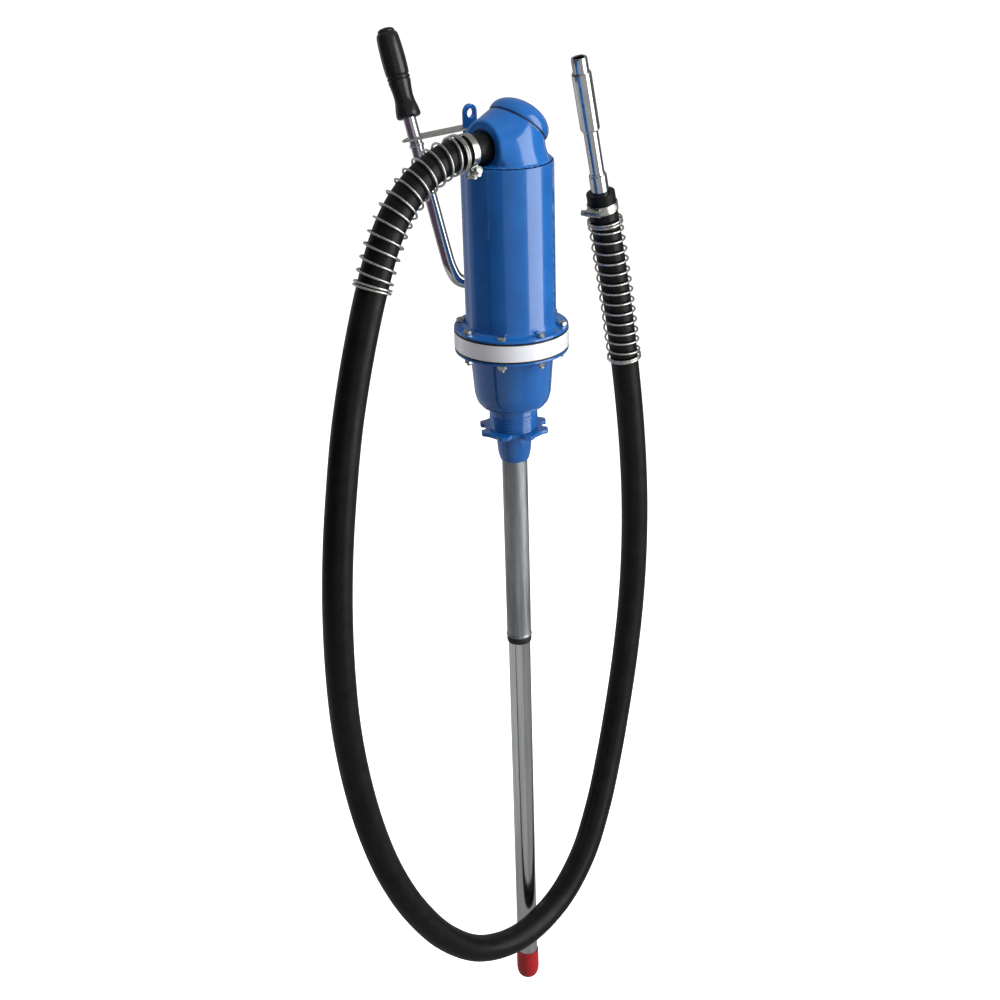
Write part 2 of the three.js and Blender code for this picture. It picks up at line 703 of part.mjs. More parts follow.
function makePistonRod() {
  const outline = [
    [0, PIN_Z + 22.5],
    [4.9, PIN_Z + 22.5],
    [4.9, PISTON_Z + PISTON_THICKNESS + 22],
    [0, PISTON_Z + PISTON_THICKNESS + 22],
  ];
  return turned(outline, 12);
}

function makePiston() {
  const z0 = PISTON_Z;
  const z1 = PISTON_Z + PISTON_THICKNESS;
  const outline = [
    [5.2, z0],
    [BORE_R - 1, z0],
    [BORE_R - 1, z0 + 4],
    [BORE_R - 4, z0 + 4],
    [BORE_R - 4, z1 - 4],
    [BORE_R - 1, z1 - 4],
    [BORE_R - 1, z1],
    [5.2, z1],
  ];
  const ports = [];
  for (let i = 0; i < 4; i++) {
    const angle = (Math.PI * (i + 0.5)) / 2;
    ports.push(rod(7, z0 - 1, z1 + 1, 8).translate(24 * Math.cos(angle), 24 * Math.sin(angle), 0));
  }
  return cut(turned(outline, 24), ...ports);
}

const pistonTop = PISTON_Z + PISTON_THICKNESS;

add("crosshead", makeCrosshead(), zinc());
add("piston_rod", makePistonRod(), chrome());
add("piston", makePiston(), brass());
add("piston_ring", ring(BORE_R - 0.5, BORE_R - 3.7, PISTON_Z + 4.3, pistonTop - 4.3, 24), rubber());
add("piston_valve", ring(34, 5.3, pistonTop + GAP, pistonTop + 2.5, 20), brass());

// ---- Lever, grip and hasp ----

const leverY = (z) => LEVER_REF.y + LEVER_SLOPE * (z - LEVER_REF.z);
const leverAxis = new THREE.Vector3(0, LEVER_SLOPE, 1).normalize();
const HUB_X = [47, 61];
const HUB_R = 15;

// The rod is welded to its hub, leaves it outward, bends round the back of the pump and rises to the grip.
function leverCurve() {
  const bend = [
    [54, SHAFT_Y + 11, SHAFT_Z - 1],
    [52.5, SHAFT_Y + 28, SHAFT_Z - 3],
    [42, SHAFT_Y + 40, SHAFT_Z - 3],
    [24, leverY(118) - 0.5, 121],
    [8, leverY(128) + 0.5, 128],
    [1, leverY(145), 145],
  ];
  const points = bend.map(([x, y, z]) => new THREE.Vector3(x, y, z));
  for (let i = 0; i <= 5; i++) {
    const z = 170 + ((LEVER_TOP_Z - 170) * i) / 5;
    points.push(new THREE.Vector3(0, leverY(z), z));
  }
  return new THREE.CatmullRomCurve3(points, false, "centripetal");
}

function makeLeverRod() {
  const hub = onShaft(rod(HUB_R, ...HUB_X, 20));
  const bore = onShaft(rod(SHAFT_R + 0.1, 40, 70, 24));
  const shaft = sweep(leverCurve(), polygon(LEVER_R, 8), 26);
  const collarAt = new THREE.Vector3(0, leverY(HASP_Z - 9), HASP_Z - 9);
  return cut(joined(shaft, hub, aimed(rod(9.3, -2, 2, 16), collarAt, leverAxis)), bore);
}

add("lever_rod", makeLeverRod(), chrome());

const gripBase = new THREE.Vector3(0, leverY(GRIP_BOTTOM_Z), GRIP_BOTTOM_Z);
const gripBoreTop = (LEVER_TOP_Z - GRIP_BOTTOM_Z) / leverAxis.z + 0.5;

function makeGrip() {
  const bore = LEVER_R + GAP;
  const outline = [
    [bore, 0],
    [13.4, 0],
    [15, 2.2],
    [15.2, 5],
    [14.4, 11],
    [12.6, 19],
    [11.9, 26],
    [12.4, 34],
    [14.1, 45],
    [13.2, 46.6],
    [14.2, 48.4],
    [14.2, 50],
    [13.2, 51.4],
    [14.3, 53],
    [14.9, 64],
    [14.9, 76],
    [14.5, 88],
    [13.8, 97],
    [12.6, 102],
    [11.2, 104],
    [0, 104],
    [0, gripBoreTop],
    [bore, gripBoreTop],
  ];
  return aimed(turned(outline, 16), gripBase.clone(), leverAxis);
}

function makeGripButton() {
  const outline = [
    [0, 104.3],
    [10.6, 104.3],
    [10.6, 105.8],
    [9.6, 107.8],
    [6.6, 109.2],
    [0, 109.8],
  ];
  return aimed(turned(outline, 18), gripBase.clone(), leverAxis);
}

add("grip", makeGrip(), gripPlastic());
add("grip_button", makeGripButton(), gripPlastic());

// The hasp is a flat strap. Its eye is loose on the rod and its forked end straddles the head's lug.
function makeHasp() {
  const toLug = (leverY(HASP_Z) - LUG_Y[1]) / Math.cos(rad(HASP_TILT));
  const tip = toLug + 11;
  const slotEnd = toLug - 4.5;
  const slotHalf = LUG_HALF_WIDTH + 0.8;
  const outline = new THREE.Shape();
  outline.moveTo(HASP_HALF_WIDTH, -6);
  outline.lineTo(HASP_HALF_WIDTH, tip - 1);
  outline.lineTo(HASP_HALF_WIDTH - 1, tip);
  outline.lineTo(slotHalf, tip);
  outline.lineTo(slotHalf, slotEnd);
  outline.lineTo(-slotHalf, slotEnd);
  outline.lineTo(-slotHalf, tip);
  outline.lineTo(-HASP_HALF_WIDTH + 1, tip);
  outline.lineTo(-HASP_HALF_WIDTH, tip - 1);
  outline.lineTo(-HASP_HALF_WIDTH, -6);
  outline.absarc(0, -6, HASP_HALF_WIDTH, Math.PI, 2 * Math.PI, false);
  const eye = new THREE.Path();
  eye.moveTo(HASP_EYE_R, -HASP_EYE_PLAY);
  eye.lineTo(HASP_EYE_R, 0);
  eye.absarc(0, 0, HASP_EYE_R, 0, Math.PI, false);
  eye.lineTo(-HASP_EYE_R, -HASP_EYE_PLAY);
  eye.absarc(0, -HASP_EYE_PLAY, HASP_EYE_R, Math.PI, 2 * Math.PI, false);
  outline.holes.push(eye);
  const strap = plate(outline, -HASP_THICKNESS / 2, HASP_THICKNESS / 2, 8);
  strap.rotateZ(Math.PI).rotateY(-rad(HASP_ROLL)).rotateX(-rad(HASP_TILT));
  return strap.translate(0, leverY(HASP_Z), HASP_Z);
}

add("hasp", makeHasp(), zinc());

// ---- Hose, spring guards and clamps ----

const hoseCurve = new THREE.CatmullRomCurve3(
  HOSE_ROUTE.map(([x, y, z]) => new THREE.Vector3(x, y, z)),
  false,
  "catmullrom",
  0.5,
);
hoseCurve.arcLengthDivisions = 1200;
const HOSE_LENGTH = hoseCurve.getLength();

add("hose", sweep(hoseCurve, polygon(HOSE_R, HOSE_SIDES), HOSE_STEPS), rubber());

// A place on the hose: its centre, its direction and two directions across it.
function hoseFrame(distance) {
  const u = THREE.MathUtils.clamp(distance / HOSE_LENGTH, 0, 1);
  const centre = hoseCurve.getPointAt(u);
  const along = hoseCurve.getTangentAt(u);
  const side = new THREE.Vector3(0, 1, 0).addScaledVector(along, -along.y).normalize();
  const up = new THREE.Vector3().crossVectors(side, along);
  return { centre, along, side, up };
}

// A wire coil around the hose, with close turns at both ends.
class SpringCurve extends THREE.Curve {
  constructor(from, to) {
    super();
    this.from = from;
    this.to = to;
    this.arcLengthDivisions = 3000;
  }

  getPoint(t, target = new THREE.Vector3()) {
    const closeTurns = 2;
    const closePitch = 3.2;
    const turn = t * SPRING_TURNS;
    const openTurns = SPRING_TURNS - 2 * closeTurns;
    const openPitch = (this.to - this.from - 2 * closeTurns * closePitch) / openTurns;
    const low = Math.min(turn, closeTurns);
    const high = Math.max(0, turn - closeTurns - openTurns);
    const open = turn - low - high;
    const frame = hoseFrame(this.from + (low + high) * closePitch + open * openPitch);
    const angle = 2 * Math.PI * turn;
    target.copy(frame.centre);
    target.addScaledVector(frame.side, SPRING_R * Math.cos(angle));
    return target.addScaledVector(frame.up, SPRING_R * Math.sin(angle));
  }
}

function makeSpring(from, to) {
  return sweep(new SpringCurve(from, to), polygon(SPRING_WIRE_R, 3), SPRING_TURNS * 8);
}

add("outlet_spring", makeSpring(...OUTLET_SPRING), zinc());
const nozzleSpringSpan = [HOSE_LENGTH - NOZZLE_SPRING[1], HOSE_LENGTH - NOZZLE_SPRING[0]];
add("nozzle_spring", makeSpring(...nozzleSpringSpan), zinc());

// Places geometry made about Z on the hose, Z along it and X across it on the given side.
function placedOnHose(geometry, distance, turn) {
  const { centre, along, side, up } = hoseFrame(distance);
  const matrix = new THREE.Matrix4().makeBasis(up, side, along).setPosition(centre);
  return geometry.rotateZ(rad(turn)).applyMatrix4(matrix);
}

// The outlet clamp is a band whose two ends turn out into ears, drawn together by a bolt.
function makeOutletClamp() {
  const outer = HOSE_R + 1.5;
  const earTop = HOSE_R + 13;
  const band = ring(outer + 1, HOSE_R + 1.3, -4.5, 4.5, 24);
  const gap = box(0, earTop + 2, -3.2, 3.2, -5, 5);
  const ears = [1, -1].map((s) => {
    const [y0, y1] = s > 0 ? [3.2, 5] : [-5, -3.2];
    return box(HOSE_R + 0.6, earTop, y0, y1, -4.5, 4.5);
  });
  const hole = rod(3, -8, 8, 12).rotateX(Math.PI / 2).translate(HOSE_R + 7.5, 0, 0);
  return cut(joined(cut(band, gap), ...ears), hole);
}

function makeOutletClampBolt() {
  const shank = rod(2.6, -8, 17, 12);
  const head = rod(5.2, -9.3, -5.3, 6);
  const nut = rod(5, 5.3, 9.3, 6);
  return joined(shank, head, nut).rotateX(Math.PI / 2).translate(HOSE_R + 7.5, 0, 0);
}

const OUTLET_EAR_TURN = 210; // ears under the hose, degrees
add("outlet_clamp", placedOnHose(makeOutletClamp(), OUTLET_CLAMP_AT, OUTLET_EAR_TURN), zinc());
add("outlet_clamp_bolt", placedOnHose(makeOutletClampBolt(), OUTLET_CLAMP_AT, OUTLET_EAR_TURN), zinc());

// The nozzle clamp is a worm-drive band with its screw in a housing on one side.
function makeNozzleClamp() {
  const band = ring(HOSE_R + 1.4, HOSE_R + GAP, -5.5, 5.5, 24);
  const housing = box(HOSE_R + 0.8, HOSE_R + 8.5, -9, 9, -5.5, 5.5);
  const bore = rod(3.4, -11, 11, 14).rotateX(Math.PI / 2).translate(HOSE_R + 4.9, 0, 0);
  return cut(joined(band, housing), bore);
}

function makeNozzleClampScrew() {
  const worm = rod(3.1, -11, 10, 14);
  const head = rod(4.2, 9.7, 16, 8);
  return joined(worm, head).rotateX(Math.PI / 2).translate(HOSE_R + 4.9, 0, 0);
}

const nozzleClampAt = HOSE_LENGTH - NOZZLE_CLAMP_AT;
const WORM_TURN = 192; // degrees
add("nozzle_clamp", placedOnHose(makeNozzleClamp(), nozzleClampAt, WORM_TURN), zinc());
add("nozzle_clamp_screw", placedOnHose(makeNozzleClampScrew(), nozzleClampAt, WORM_TURN), zinc());

// ---- Nozzle ----

const nozzleFrame = hoseFrame(HOSE_LENGTH);
const onNozzle = (geometry) => aimed(geometry, nozzleFrame.centre.clone(), nozzleFrame.along);

function makeNozzleStem() {
  const outline = [
    [7, GAP],
    [11.2, GAP],
    [11.2, 22],
    [9.8, 24],
    [9.1, 25],
    [9.1, 94],
    [7, 94],
  ];
  return onNozzle(turned(outline, 20));
}

function makeNozzleSleeve() {
  const outline = [
    [9.4, 80],
    [10.9, 80],
    [12.1, 82],
    [12.1, 150],
    [11.2, 152],
    [9.4, 152],
  ];
  return onNozzle(turned(outline, 20));
}

function makeNozzleMouth() {
  const outline = [
    [7.4, 108],
    [9.1, 108],
    [9.1, 152.3],
    [9.9, 152.3],
    [9.9, 168.5],
    [9.1, 170],
    [8, 170],
    [7.4, 169],
  ];
  return onNozzle(turned(outline, 32));
}

add("nozzle_stem", makeNozzleStem(), chrome());
add("nozzle_sleeve", makeNozzleSleeve(), chrome());
add("nozzle_mouth", makeNozzleMouth(), chrome());

export default model;
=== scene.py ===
import itertools
import json
import math

import bmesh
import bpy
import numpy as np
from mathutils import Matrix, Quaternion, Vector


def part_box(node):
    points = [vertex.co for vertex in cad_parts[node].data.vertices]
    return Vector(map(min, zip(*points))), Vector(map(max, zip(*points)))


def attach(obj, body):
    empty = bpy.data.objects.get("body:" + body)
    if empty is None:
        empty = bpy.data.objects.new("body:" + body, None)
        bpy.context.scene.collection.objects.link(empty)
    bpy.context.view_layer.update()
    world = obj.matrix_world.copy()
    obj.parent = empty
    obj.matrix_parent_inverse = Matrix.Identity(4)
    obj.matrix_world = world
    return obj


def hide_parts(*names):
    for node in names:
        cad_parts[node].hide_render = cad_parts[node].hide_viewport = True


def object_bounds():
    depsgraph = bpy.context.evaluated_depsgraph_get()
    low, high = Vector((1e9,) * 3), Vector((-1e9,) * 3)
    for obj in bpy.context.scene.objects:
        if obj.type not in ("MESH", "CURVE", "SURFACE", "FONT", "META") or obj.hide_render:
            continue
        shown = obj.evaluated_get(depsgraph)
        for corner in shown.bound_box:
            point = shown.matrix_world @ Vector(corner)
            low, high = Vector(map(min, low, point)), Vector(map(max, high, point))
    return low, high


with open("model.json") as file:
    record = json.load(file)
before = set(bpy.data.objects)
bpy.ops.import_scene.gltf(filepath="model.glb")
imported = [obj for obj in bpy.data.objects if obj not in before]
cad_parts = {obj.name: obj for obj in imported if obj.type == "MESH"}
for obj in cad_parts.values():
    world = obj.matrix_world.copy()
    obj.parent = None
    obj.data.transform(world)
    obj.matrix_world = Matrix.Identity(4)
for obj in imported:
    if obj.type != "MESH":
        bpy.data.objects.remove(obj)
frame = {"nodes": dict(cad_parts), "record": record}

MM = 0.001
CAD_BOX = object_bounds()
nodes = frame["nodes"]
scene = bpy.context.scene


# ---- Camera, fitted to the cylinder, the tubes and the hose in the photograph ----

VIEW_AZIMUTH = math.radians(-42.2)
VIEW_PITCH = math.radians(25)
VIEW_ROLL = math.radians(-1.5)
VIEW_DISTANCE = 2.0
VIEW_CENTRE = Vector((0, 0, -0.13865))
VIEW_LENS = 56.79
VIEW_SHIFT = -0.0158


def make_camera():
    """Makes the scene's camera and returns the direction from the pump to it."""
    back = Vector((
        math.sin(VIEW_AZIMUTH) * math.cos(VIEW_PITCH),
        -math.cos(VIEW_AZIMUTH) * math.cos(VIEW_PITCH),
        math.sin(VIEW_PITCH),
    ))
    data = bpy.data.cameras.new("camera")
    data.sensor_width = 36
    data.lens = VIEW_LENS
    data.shift_x = VIEW_SHIFT
    camera = bpy.data.objects.new("camera", data)
    camera.location = VIEW_CENTRE + VIEW_DISTANCE * back
    camera.rotation_mode = "QUATERNION"
    upright = (-back).to_track_quat("-Z", "Y")
    camera.rotation_quaternion = upright @ Quaternion((0, 0, 1), VIEW_ROLL)
    bpy.context.collection.objects.link(camera)
    scene.camera = camera
    return back


to_camera = make_camera()


# ---- Mesh helpers ----

def mesh_object(name, points, faces, sharp=32):
    """An object from points in millimetres, smooth except at edges above an angle in degrees."""
    mesh = bpy.data.meshes.new(name)
    mesh.from_pydata([Vector(p) * MM for p in points], [], faces)
    mesh.validate()
    obj = bpy.data.objects.new(name, mesh)
    bpy.context.collection.objects.link(obj)
    smooth(obj, sharp)
    return obj


def smooth(obj, sharp):
    obj.data.shade_smooth()
    obj.data.set_sharp_from_angle(angle=math.radians(sharp))
    normals = obj.modifiers.new("weighted normals", "WEIGHTED_NORMAL")
    normals.keep_sharp = True


def skin(rows, ring=False):
    """Points and faces through rows of points around a section. A row of one point is a pole, and
    in a ring the last row joins the first."""
    points, faces, starts = [], [], []
    for row in rows:
        starts.append(len(points))
        points.extend(row)

    def corner(row, i):
        return starts[row] + i % len(rows[row])

    pairs = list(zip(range(len(rows) - 1), range(1, len(rows))))
    if ring:
        pairs.append((len(rows) - 1, 0))
    for a, b in pairs:
        for i in range(max(len(rows[a]), len(rows[b]))):
            loop = (corner(a, i), corner(a, i + 1), corner(b, i + 1), corner(b, i))
            face = list(dict.fromkeys(loop))
            if len(face) > 2:
                faces.append(face)
    return points, faces


def rounded(outline, steps=4):
    """Turns the corners of a list of (radius, height, fillet) into small curves."""
    points = []
    count = len(outline)
    for i, corner in enumerate(outline):
        here = Vector(corner[:2])
        fillet = corner[2] if len(corner) > 2 else 0
        if not fillet or (i in (0, count - 1) and here.x < 1e-6):
            points.append(here)
            continue
        before = Vector(outline[i - 1][:2]) - here
        after = Vector(outline[(i + 1) % count][:2]) - here
        start = here + before.normalized() * min(fillet, before.length * 0.49)
        end = here + after.normalized() * min(fillet, after.length * 0.49)
        for k in range(steps + 1):
            t = k / steps
            points.append(start.lerp(here, t).lerp(here.lerp(end, t), t))
    return [(p.x, p.y) for p in points]


def placed(origin, direction):
    """A matrix that stands a shape made along Z at origin, pointing along direction."""
    aimed = Vector(direction).to_track_quat("Z", "Y").to_matrix().to_4x4()
    return Matrix.Translation(Vector(origin)) @ aimed


UPRIGHT = Matrix.Identity(4)


def angles(segments):
    """Equal steps of one full turn."""
    return [2 * math.pi * i / segments for i in range(segments)]


def circle(radius, height, segments):
    """A ring of points around Z, or one point on the axis."""
    if radius < 1e-6:
        return [Vector((0, 0, height))]
    return [Vector((radius * math.cos(a), radius * math.sin(a), height)) for a in angles(segments)]


def lathe(name, outline, place=UPRIGHT, segments=96):
    """An outline of (radius, height) turned about Z. One that doesn't end on the axis is closed."""
    points = rounded(outline)
    ring = points[0][0] > 1e-6 or points[-1][0] > 1e-6
    rows = [circle(r, z, segments) for r, z in points]
    rows = [[place @ p for p in row] for row in rows]
    return mesh_object(name, *skin(rows, ring))


def curve_between(points, steps):
    """A smooth Catmull-Rom curve through points, which runs straight on at both ends."""
    points = [Vector(p) for p in points]
    line = [2 * points[0] - points[1]] + points + [2 * points[-1] - points[-2]]
    out = []
    for i in range(1, len(line) - 2):
        before, start, end, after = line[i - 1 : i + 3]
        leaving, arriving = (end - before) / 2, (after - start) / 2
        for k in range(steps):
            t = k / steps
            share = 2 * t**3 - 3 * t**2 + 1
            slope = (t**3 - 2 * t**2 + t) * leaving
            out.append(share * start + slope + (1 - share) * end + (t**3 - t**2) * arriving)
    out.append(points[-1])
    return out


def frames_along(points):
    """A centre and two cross directions at each point, carried along without twist."""
    frames = []
    side = None
    for i, point in enumerate(points):
        along = (points[min(i + 1, len(points) - 1)] - points[max(i - 1, 0)]).normalized()
        if side is None:
            side = along.orthogonal().normalized()
        side = (side - side.dot(along) * along).normalized()
        frames.append((point, side, along.cross(side)))
    return frames


def sweep(name, points, radius, segments, sharp=40):
    """A round bar along points, with flat ends."""
    rows = [[points[0]]]
    for centre, side, up in frames_along(points):
        section = [math.cos(a) * side + math.sin(a) * up for a in angles(segments)]
        rows.append([centre + radius * direction for direction in section])
    rows.append([points[-1]])
    return mesh_object(name, *skin(rows), sharp=sharp)


def flat_plate(name, loops, thickness, bevel, place):
    """A plate in the XY plane, centred on z = 0, with holes and rounded edges."""
    data = bpy.data.curves.new(name, "CURVE")
    data.dimensions = "2D"
    data.fill_mode = "BOTH"
    data.extrude = (thickness / 2 - bevel) * MM
    data.bevel_depth = bevel * MM
    data.bevel_resolution = 2
    data.offset = -bevel * MM
    for loop in loops:
        spline = data.splines.new("POLY")
        spline.points.add(len(loop) - 1)
        spline.use_cyclic_u = True
        for point, (x, y) in zip(spline.points, loop):
            point.co = (x * MM, y * MM, 0, 1)
    source = bpy.data.objects.new(name + "_outline", data)
    bpy.context.collection.objects.link(source)
    bpy.context.view_layer.update()
    mesh = bpy.data.meshes.new_from_object(source)
    bpy.data.objects.remove(source)
    mesh.transform(Matrix.Scale(MM, 4) @ place @ Matrix.Scale(1 / MM, 4))
    mesh.name = name
    obj = bpy.data.objects.new(name, mesh)
    bpy.context.collection.objects.link(obj)
    weld(obj)
    smooth(obj, 32)
    return obj


def weld(obj):
    """Joins points that lie on each other and turns every face outwards."""
    shape = bmesh.new()
    shape.from_mesh(obj.data)
    bmesh.ops.remove_doubles(shape, verts=shape.verts, dist=0.02 * MM)
    bmesh.ops.recalc_face_normals(shape, faces=shape.faces)
    shape.to_mesh(obj.data)
    shape.free()


def arc(centre, radius, start, end, steps=16):
    """Points on an arc from start to end, in degrees."""
    turns = [math.radians(start + (end - start) * k / steps) for k in range(steps + 1)]
    return [(centre[0] + radius * math.cos(a), centre[1] + radius * math.sin(a)) for a in turns]


def joined(name, parts):
    """One object from several, which all keep their places."""
    points, faces = [], []
    for part in parts:
        offset = len(points)
        points.extend(v.co.copy() for v in part.data.vertices)
        faces.extend([offset + i for i in p.vertices] for p in part.data.polygons)
        bpy.data.objects.remove(part)
    mesh = bpy.data.meshes.new(name)
    mesh.from_pydata(points, [], faces)
    obj = bpy.data.objects.new(name, mesh)
    bpy.context.collection.objects.link(obj)
    smooth(obj, 32)
    return obj


# ---- Solid fields: smooth unions for castings and welds ----

def smooth_min(a, b, k):
    """The union of two fields, with a fillet of about k."""
    h = np.clip(0.5 + 0.5 * (b - a) / k, 0, 1)
    return b * (1 - h) + a * h - k * h * (1 - h)


def smooth_max(a, b, k):
    """What two fields share, with its edge rounded by about k."""
    return -smooth_min(-a, -b, k)


def field_mesh(name, field, low, high, step, sharp=50):
    """A quad skin where the field is zero, inside where it is negative, by surface nets. The grid
    from low to high has to surround the shape."""
    axes = [np.arange(a, b + step, step) for a, b in zip(low, high)]
    grid = np.stack(np.meshgrid(*axes, indexing="ij"), axis=-1)
    value = field(grid)
    centre, hits = cell_crossings(grid, value)
    used = hits > 0
    index = np.full(hits.shape, -1)
    index[used] = np.arange(used.sum())
    points = centre[used] / hits[used][:, None]
    for _ in range(5):
        points = points - newton_step(field, points, step)
    return mesh_object(name, points.tolist(), net_faces(value < 0, index), sharp=sharp)


def cell_crossings(grid, value):
    """For each cell, the sum of the points where its edges cross zero, and how many there are."""
    size = tuple(n - 1 for n in value.shape)
    centre = np.zeros(size + (3,))
    hits = np.zeros(size)

    def at(array, corner):
        return array[tuple(slice(corner[n], corner[n] + size[n]) for n in range(3))]

    for start in itertools.product((0, 1), repeat=3):
        for n in range(3):
            if start[n]:
                continue
            end = tuple(1 if m == n else start[m] for m in range(3))
            value_a, value_b = at(value, start), at(value, end)
            cross = (value_a < 0) != (value_b < 0)
            share = np.where(cross, value_a / np.where(cross, value_a - value_b, 1), 0)
            point = at(grid, start) + share[..., None] * (at(grid, end) - at(grid, start))
            centre += np.where(cross[..., None], point, 0)
            hits += cross
    return centre, hits


def net_faces(inside, index):
    """A quad of cell points around each grid edge that has one end inside, facing outwards."""
    faces = []
    for n, (m, o) in enumerate(((1, 2), (2, 0), (0, 1))):
        first = np.take(inside, range(inside.shape[n] - 1), axis=n)
        second = np.take(inside, range(1, inside.shape[n]), axis=n)
        for cell in np.argwhere(first != second):
            loop = []
            for back_m, back_o in ((1, 1), (0, 1), (0, 0), (1, 0)):
                place = cell.copy()
                place[m] -= back_m
                place[o] -= back_o
                loop.append(int(index[tuple(place)]))
            faces.append(loop if first[tuple(cell)] else loop[::-1])
    return faces


def newton_step(field, points, step):
    """What to take off points to bring them to the field's zero, at most half a cell long."""
    h = 0.05
    value = field(points)
    slope = np.stack([
        (field(points + h * np.eye(3)[n]) - field(points - h * np.eye(3)[n])) / (2 * h)
        for n in range(3)
    ], axis=-1)
    move = value[:, None] * slope / np.maximum((slope**2).sum(axis=1), 0.05)[:, None]
    length = np.linalg.norm(move, axis=1)
    return move * np.minimum(1, 0.5 * step / np.maximum(length, 1e-9))[:, None]


# ---- Materials ----

def shader_of(mat):
    return mat.node_tree.nodes["Principled BSDF"]


def finish_of(name, colour, rough, metal=0.0, coat=0.0, coat_rough=0.05):
    """A plain material, which the functions below give tones, wear and grain."""
    mat = bpy.data.materials.new(name)
    mat.use_nodes = True
    shader = shader_of(mat)
    shader.inputs["Base Color"].default_value = (*colour, 1)
    shader.inputs["Roughness"].default_value = rough
    shader.inputs["Metallic"].default_value = metal
    shader.inputs["Coat Weight"].default_value = coat
    shader.inputs["Coat Roughness"].default_value = coat_rough
    return mat


def link(mat, source, target):
    mat.node_tree.links.new(source, target)


def noise(mat, scale, detail=4, stretch=(1, 1, 1)):
    """A 0 to 1 value that varies through the object's space."""
    tree = mat.node_tree.nodes
    where = tree.new("ShaderNodeTexCoord")
    mapping = tree.new("ShaderNodeMapping")
    mapping.inputs["Scale"].default_value = stretch
    texture = tree.new("ShaderNodeTexNoise")
    texture.inputs["Scale"].default_value = scale
    texture.inputs["Detail"].default_value = detail
    texture.inputs["Roughness"].default_value = 0.55
    link(mat, where.outputs["Object"], mapping.inputs["Vector"])
    link(mat, mapping.outputs["Vector"], texture.inputs["Vector"])
    return texture.outputs["Fac"]


def tones(mat, source, dark, light, width):
    """Sets the base colour, which goes from dark to light over a width in the middle of a value."""
    node = mat.node_tree.nodes.new("ShaderNodeValToRGB")
    places = (0.5 - width / 2, 0.5 + width / 2)
    for element, place, colour in zip(node.color_ramp.elements, places, (dark, light)):
        element.position = place
        element.color = (*colour, 1)
    link(mat, source, node.inputs["Fac"])
    link(mat, node.outputs["Color"], shader_of(mat).inputs["Base Color"])


def spread(mat, source, low, high):
    """The middle of a noise value stretched over low to high."""
    node = mat.node_tree.nodes.new("ShaderNodeMapRange")
    node.inputs["From Min"].default_value = 0.35
    node.inputs["From Max"].default_value = 0.65
    node.inputs["To Min"].default_value = low
    node.inputs["To Max"].default_value = high
    link(mat, source, node.inputs["Value"])
    return node.outputs["Result"]


def add_bump(mat, source, strength, distance, below=None):
    """A normal from a value's height, on top of the bump below it."""
    node = mat.node_tree.nodes.new("ShaderNodeBump")
    node.inputs["Strength"].default_value = strength
    node.inputs["Distance"].default_value = distance
    link(mat, source, node.inputs["Height"])
    if below is not None:
        link(mat, below, node.inputs["Normal"])
    return node.outputs["Normal"]


def blue_paint():
    """Glossy enamel over a cast surface, with a little orange peel."""
    mat = finish_of("blue_paint", (0.008, 0.115, 0.40), 0.14, coat=0.6, coat_rough=0.03)
    tones(mat, noise(mat, 22, 5), (0.007, 0.100, 0.36), (0.010, 0.135, 0.45), 0.4)
    link(mat, spread(mat, noise(mat, 60, 4), 0.12, 0.22), shader_of(mat).inputs["Roughness"])
    cast = add_bump(mat, noise(mat, 95, 3), 0.04, 0.0006)
    peel = add_bump(mat, noise(mat, 700, 2), 0.05, 0.0001, cast)
    link(mat, peel, shader_of(mat).inputs["Normal"])
    return mat


def plated(name, dark, light, rough, mottle, stretch=(1, 1, 1), bump=0.08):
    """Metal with a mottled or streaked plating."""
    mat = finish_of(name, light, rough, metal=1.0)
    tones(mat, noise(mat, mottle, 6, stretch), dark, light, 0.32)
    worn = spread(mat, noise(mat, mottle * 2.3, 4, stretch), rough * 0.75, rough * 1.45)
    link(mat, worn, shader_of(mat).inputs["Roughness"])
    grain = add_bump(mat, noise(mat, mottle * 5, 3, stretch), bump, 0.0003)
    link(mat, grain, shader_of(mat).inputs["Normal"])
    return mat


def dull(name, dark, light, rough, scale=90, grain=900, bump=0.12, coat=0.0, shine=0.5):
    """Rubber or moulded plastic with a fine grain and faint marks."""
    mat = finish_of(name, light, rough, coat=coat)
    shader_of(mat).inputs["Specular IOR Level"].default_value = shine
    tones(mat, noise(mat, scale, 6), dark, light, 0.36)
    worn = spread(mat, noise(mat, scale * 1.7, 5), rough * 0.8, rough * 1.3)
    link(mat, worn, shader_of(mat).inputs["Roughness"])
    wide = add_bump(mat, noise(mat, scale * 2, 4), bump * 0.6, 0.0005)
    fine = add_bump(mat, noise(mat, grain, 3), bump, 0.0002, wide)
    link(mat, fine, shader_of(mat).inputs["Normal"])
    return mat


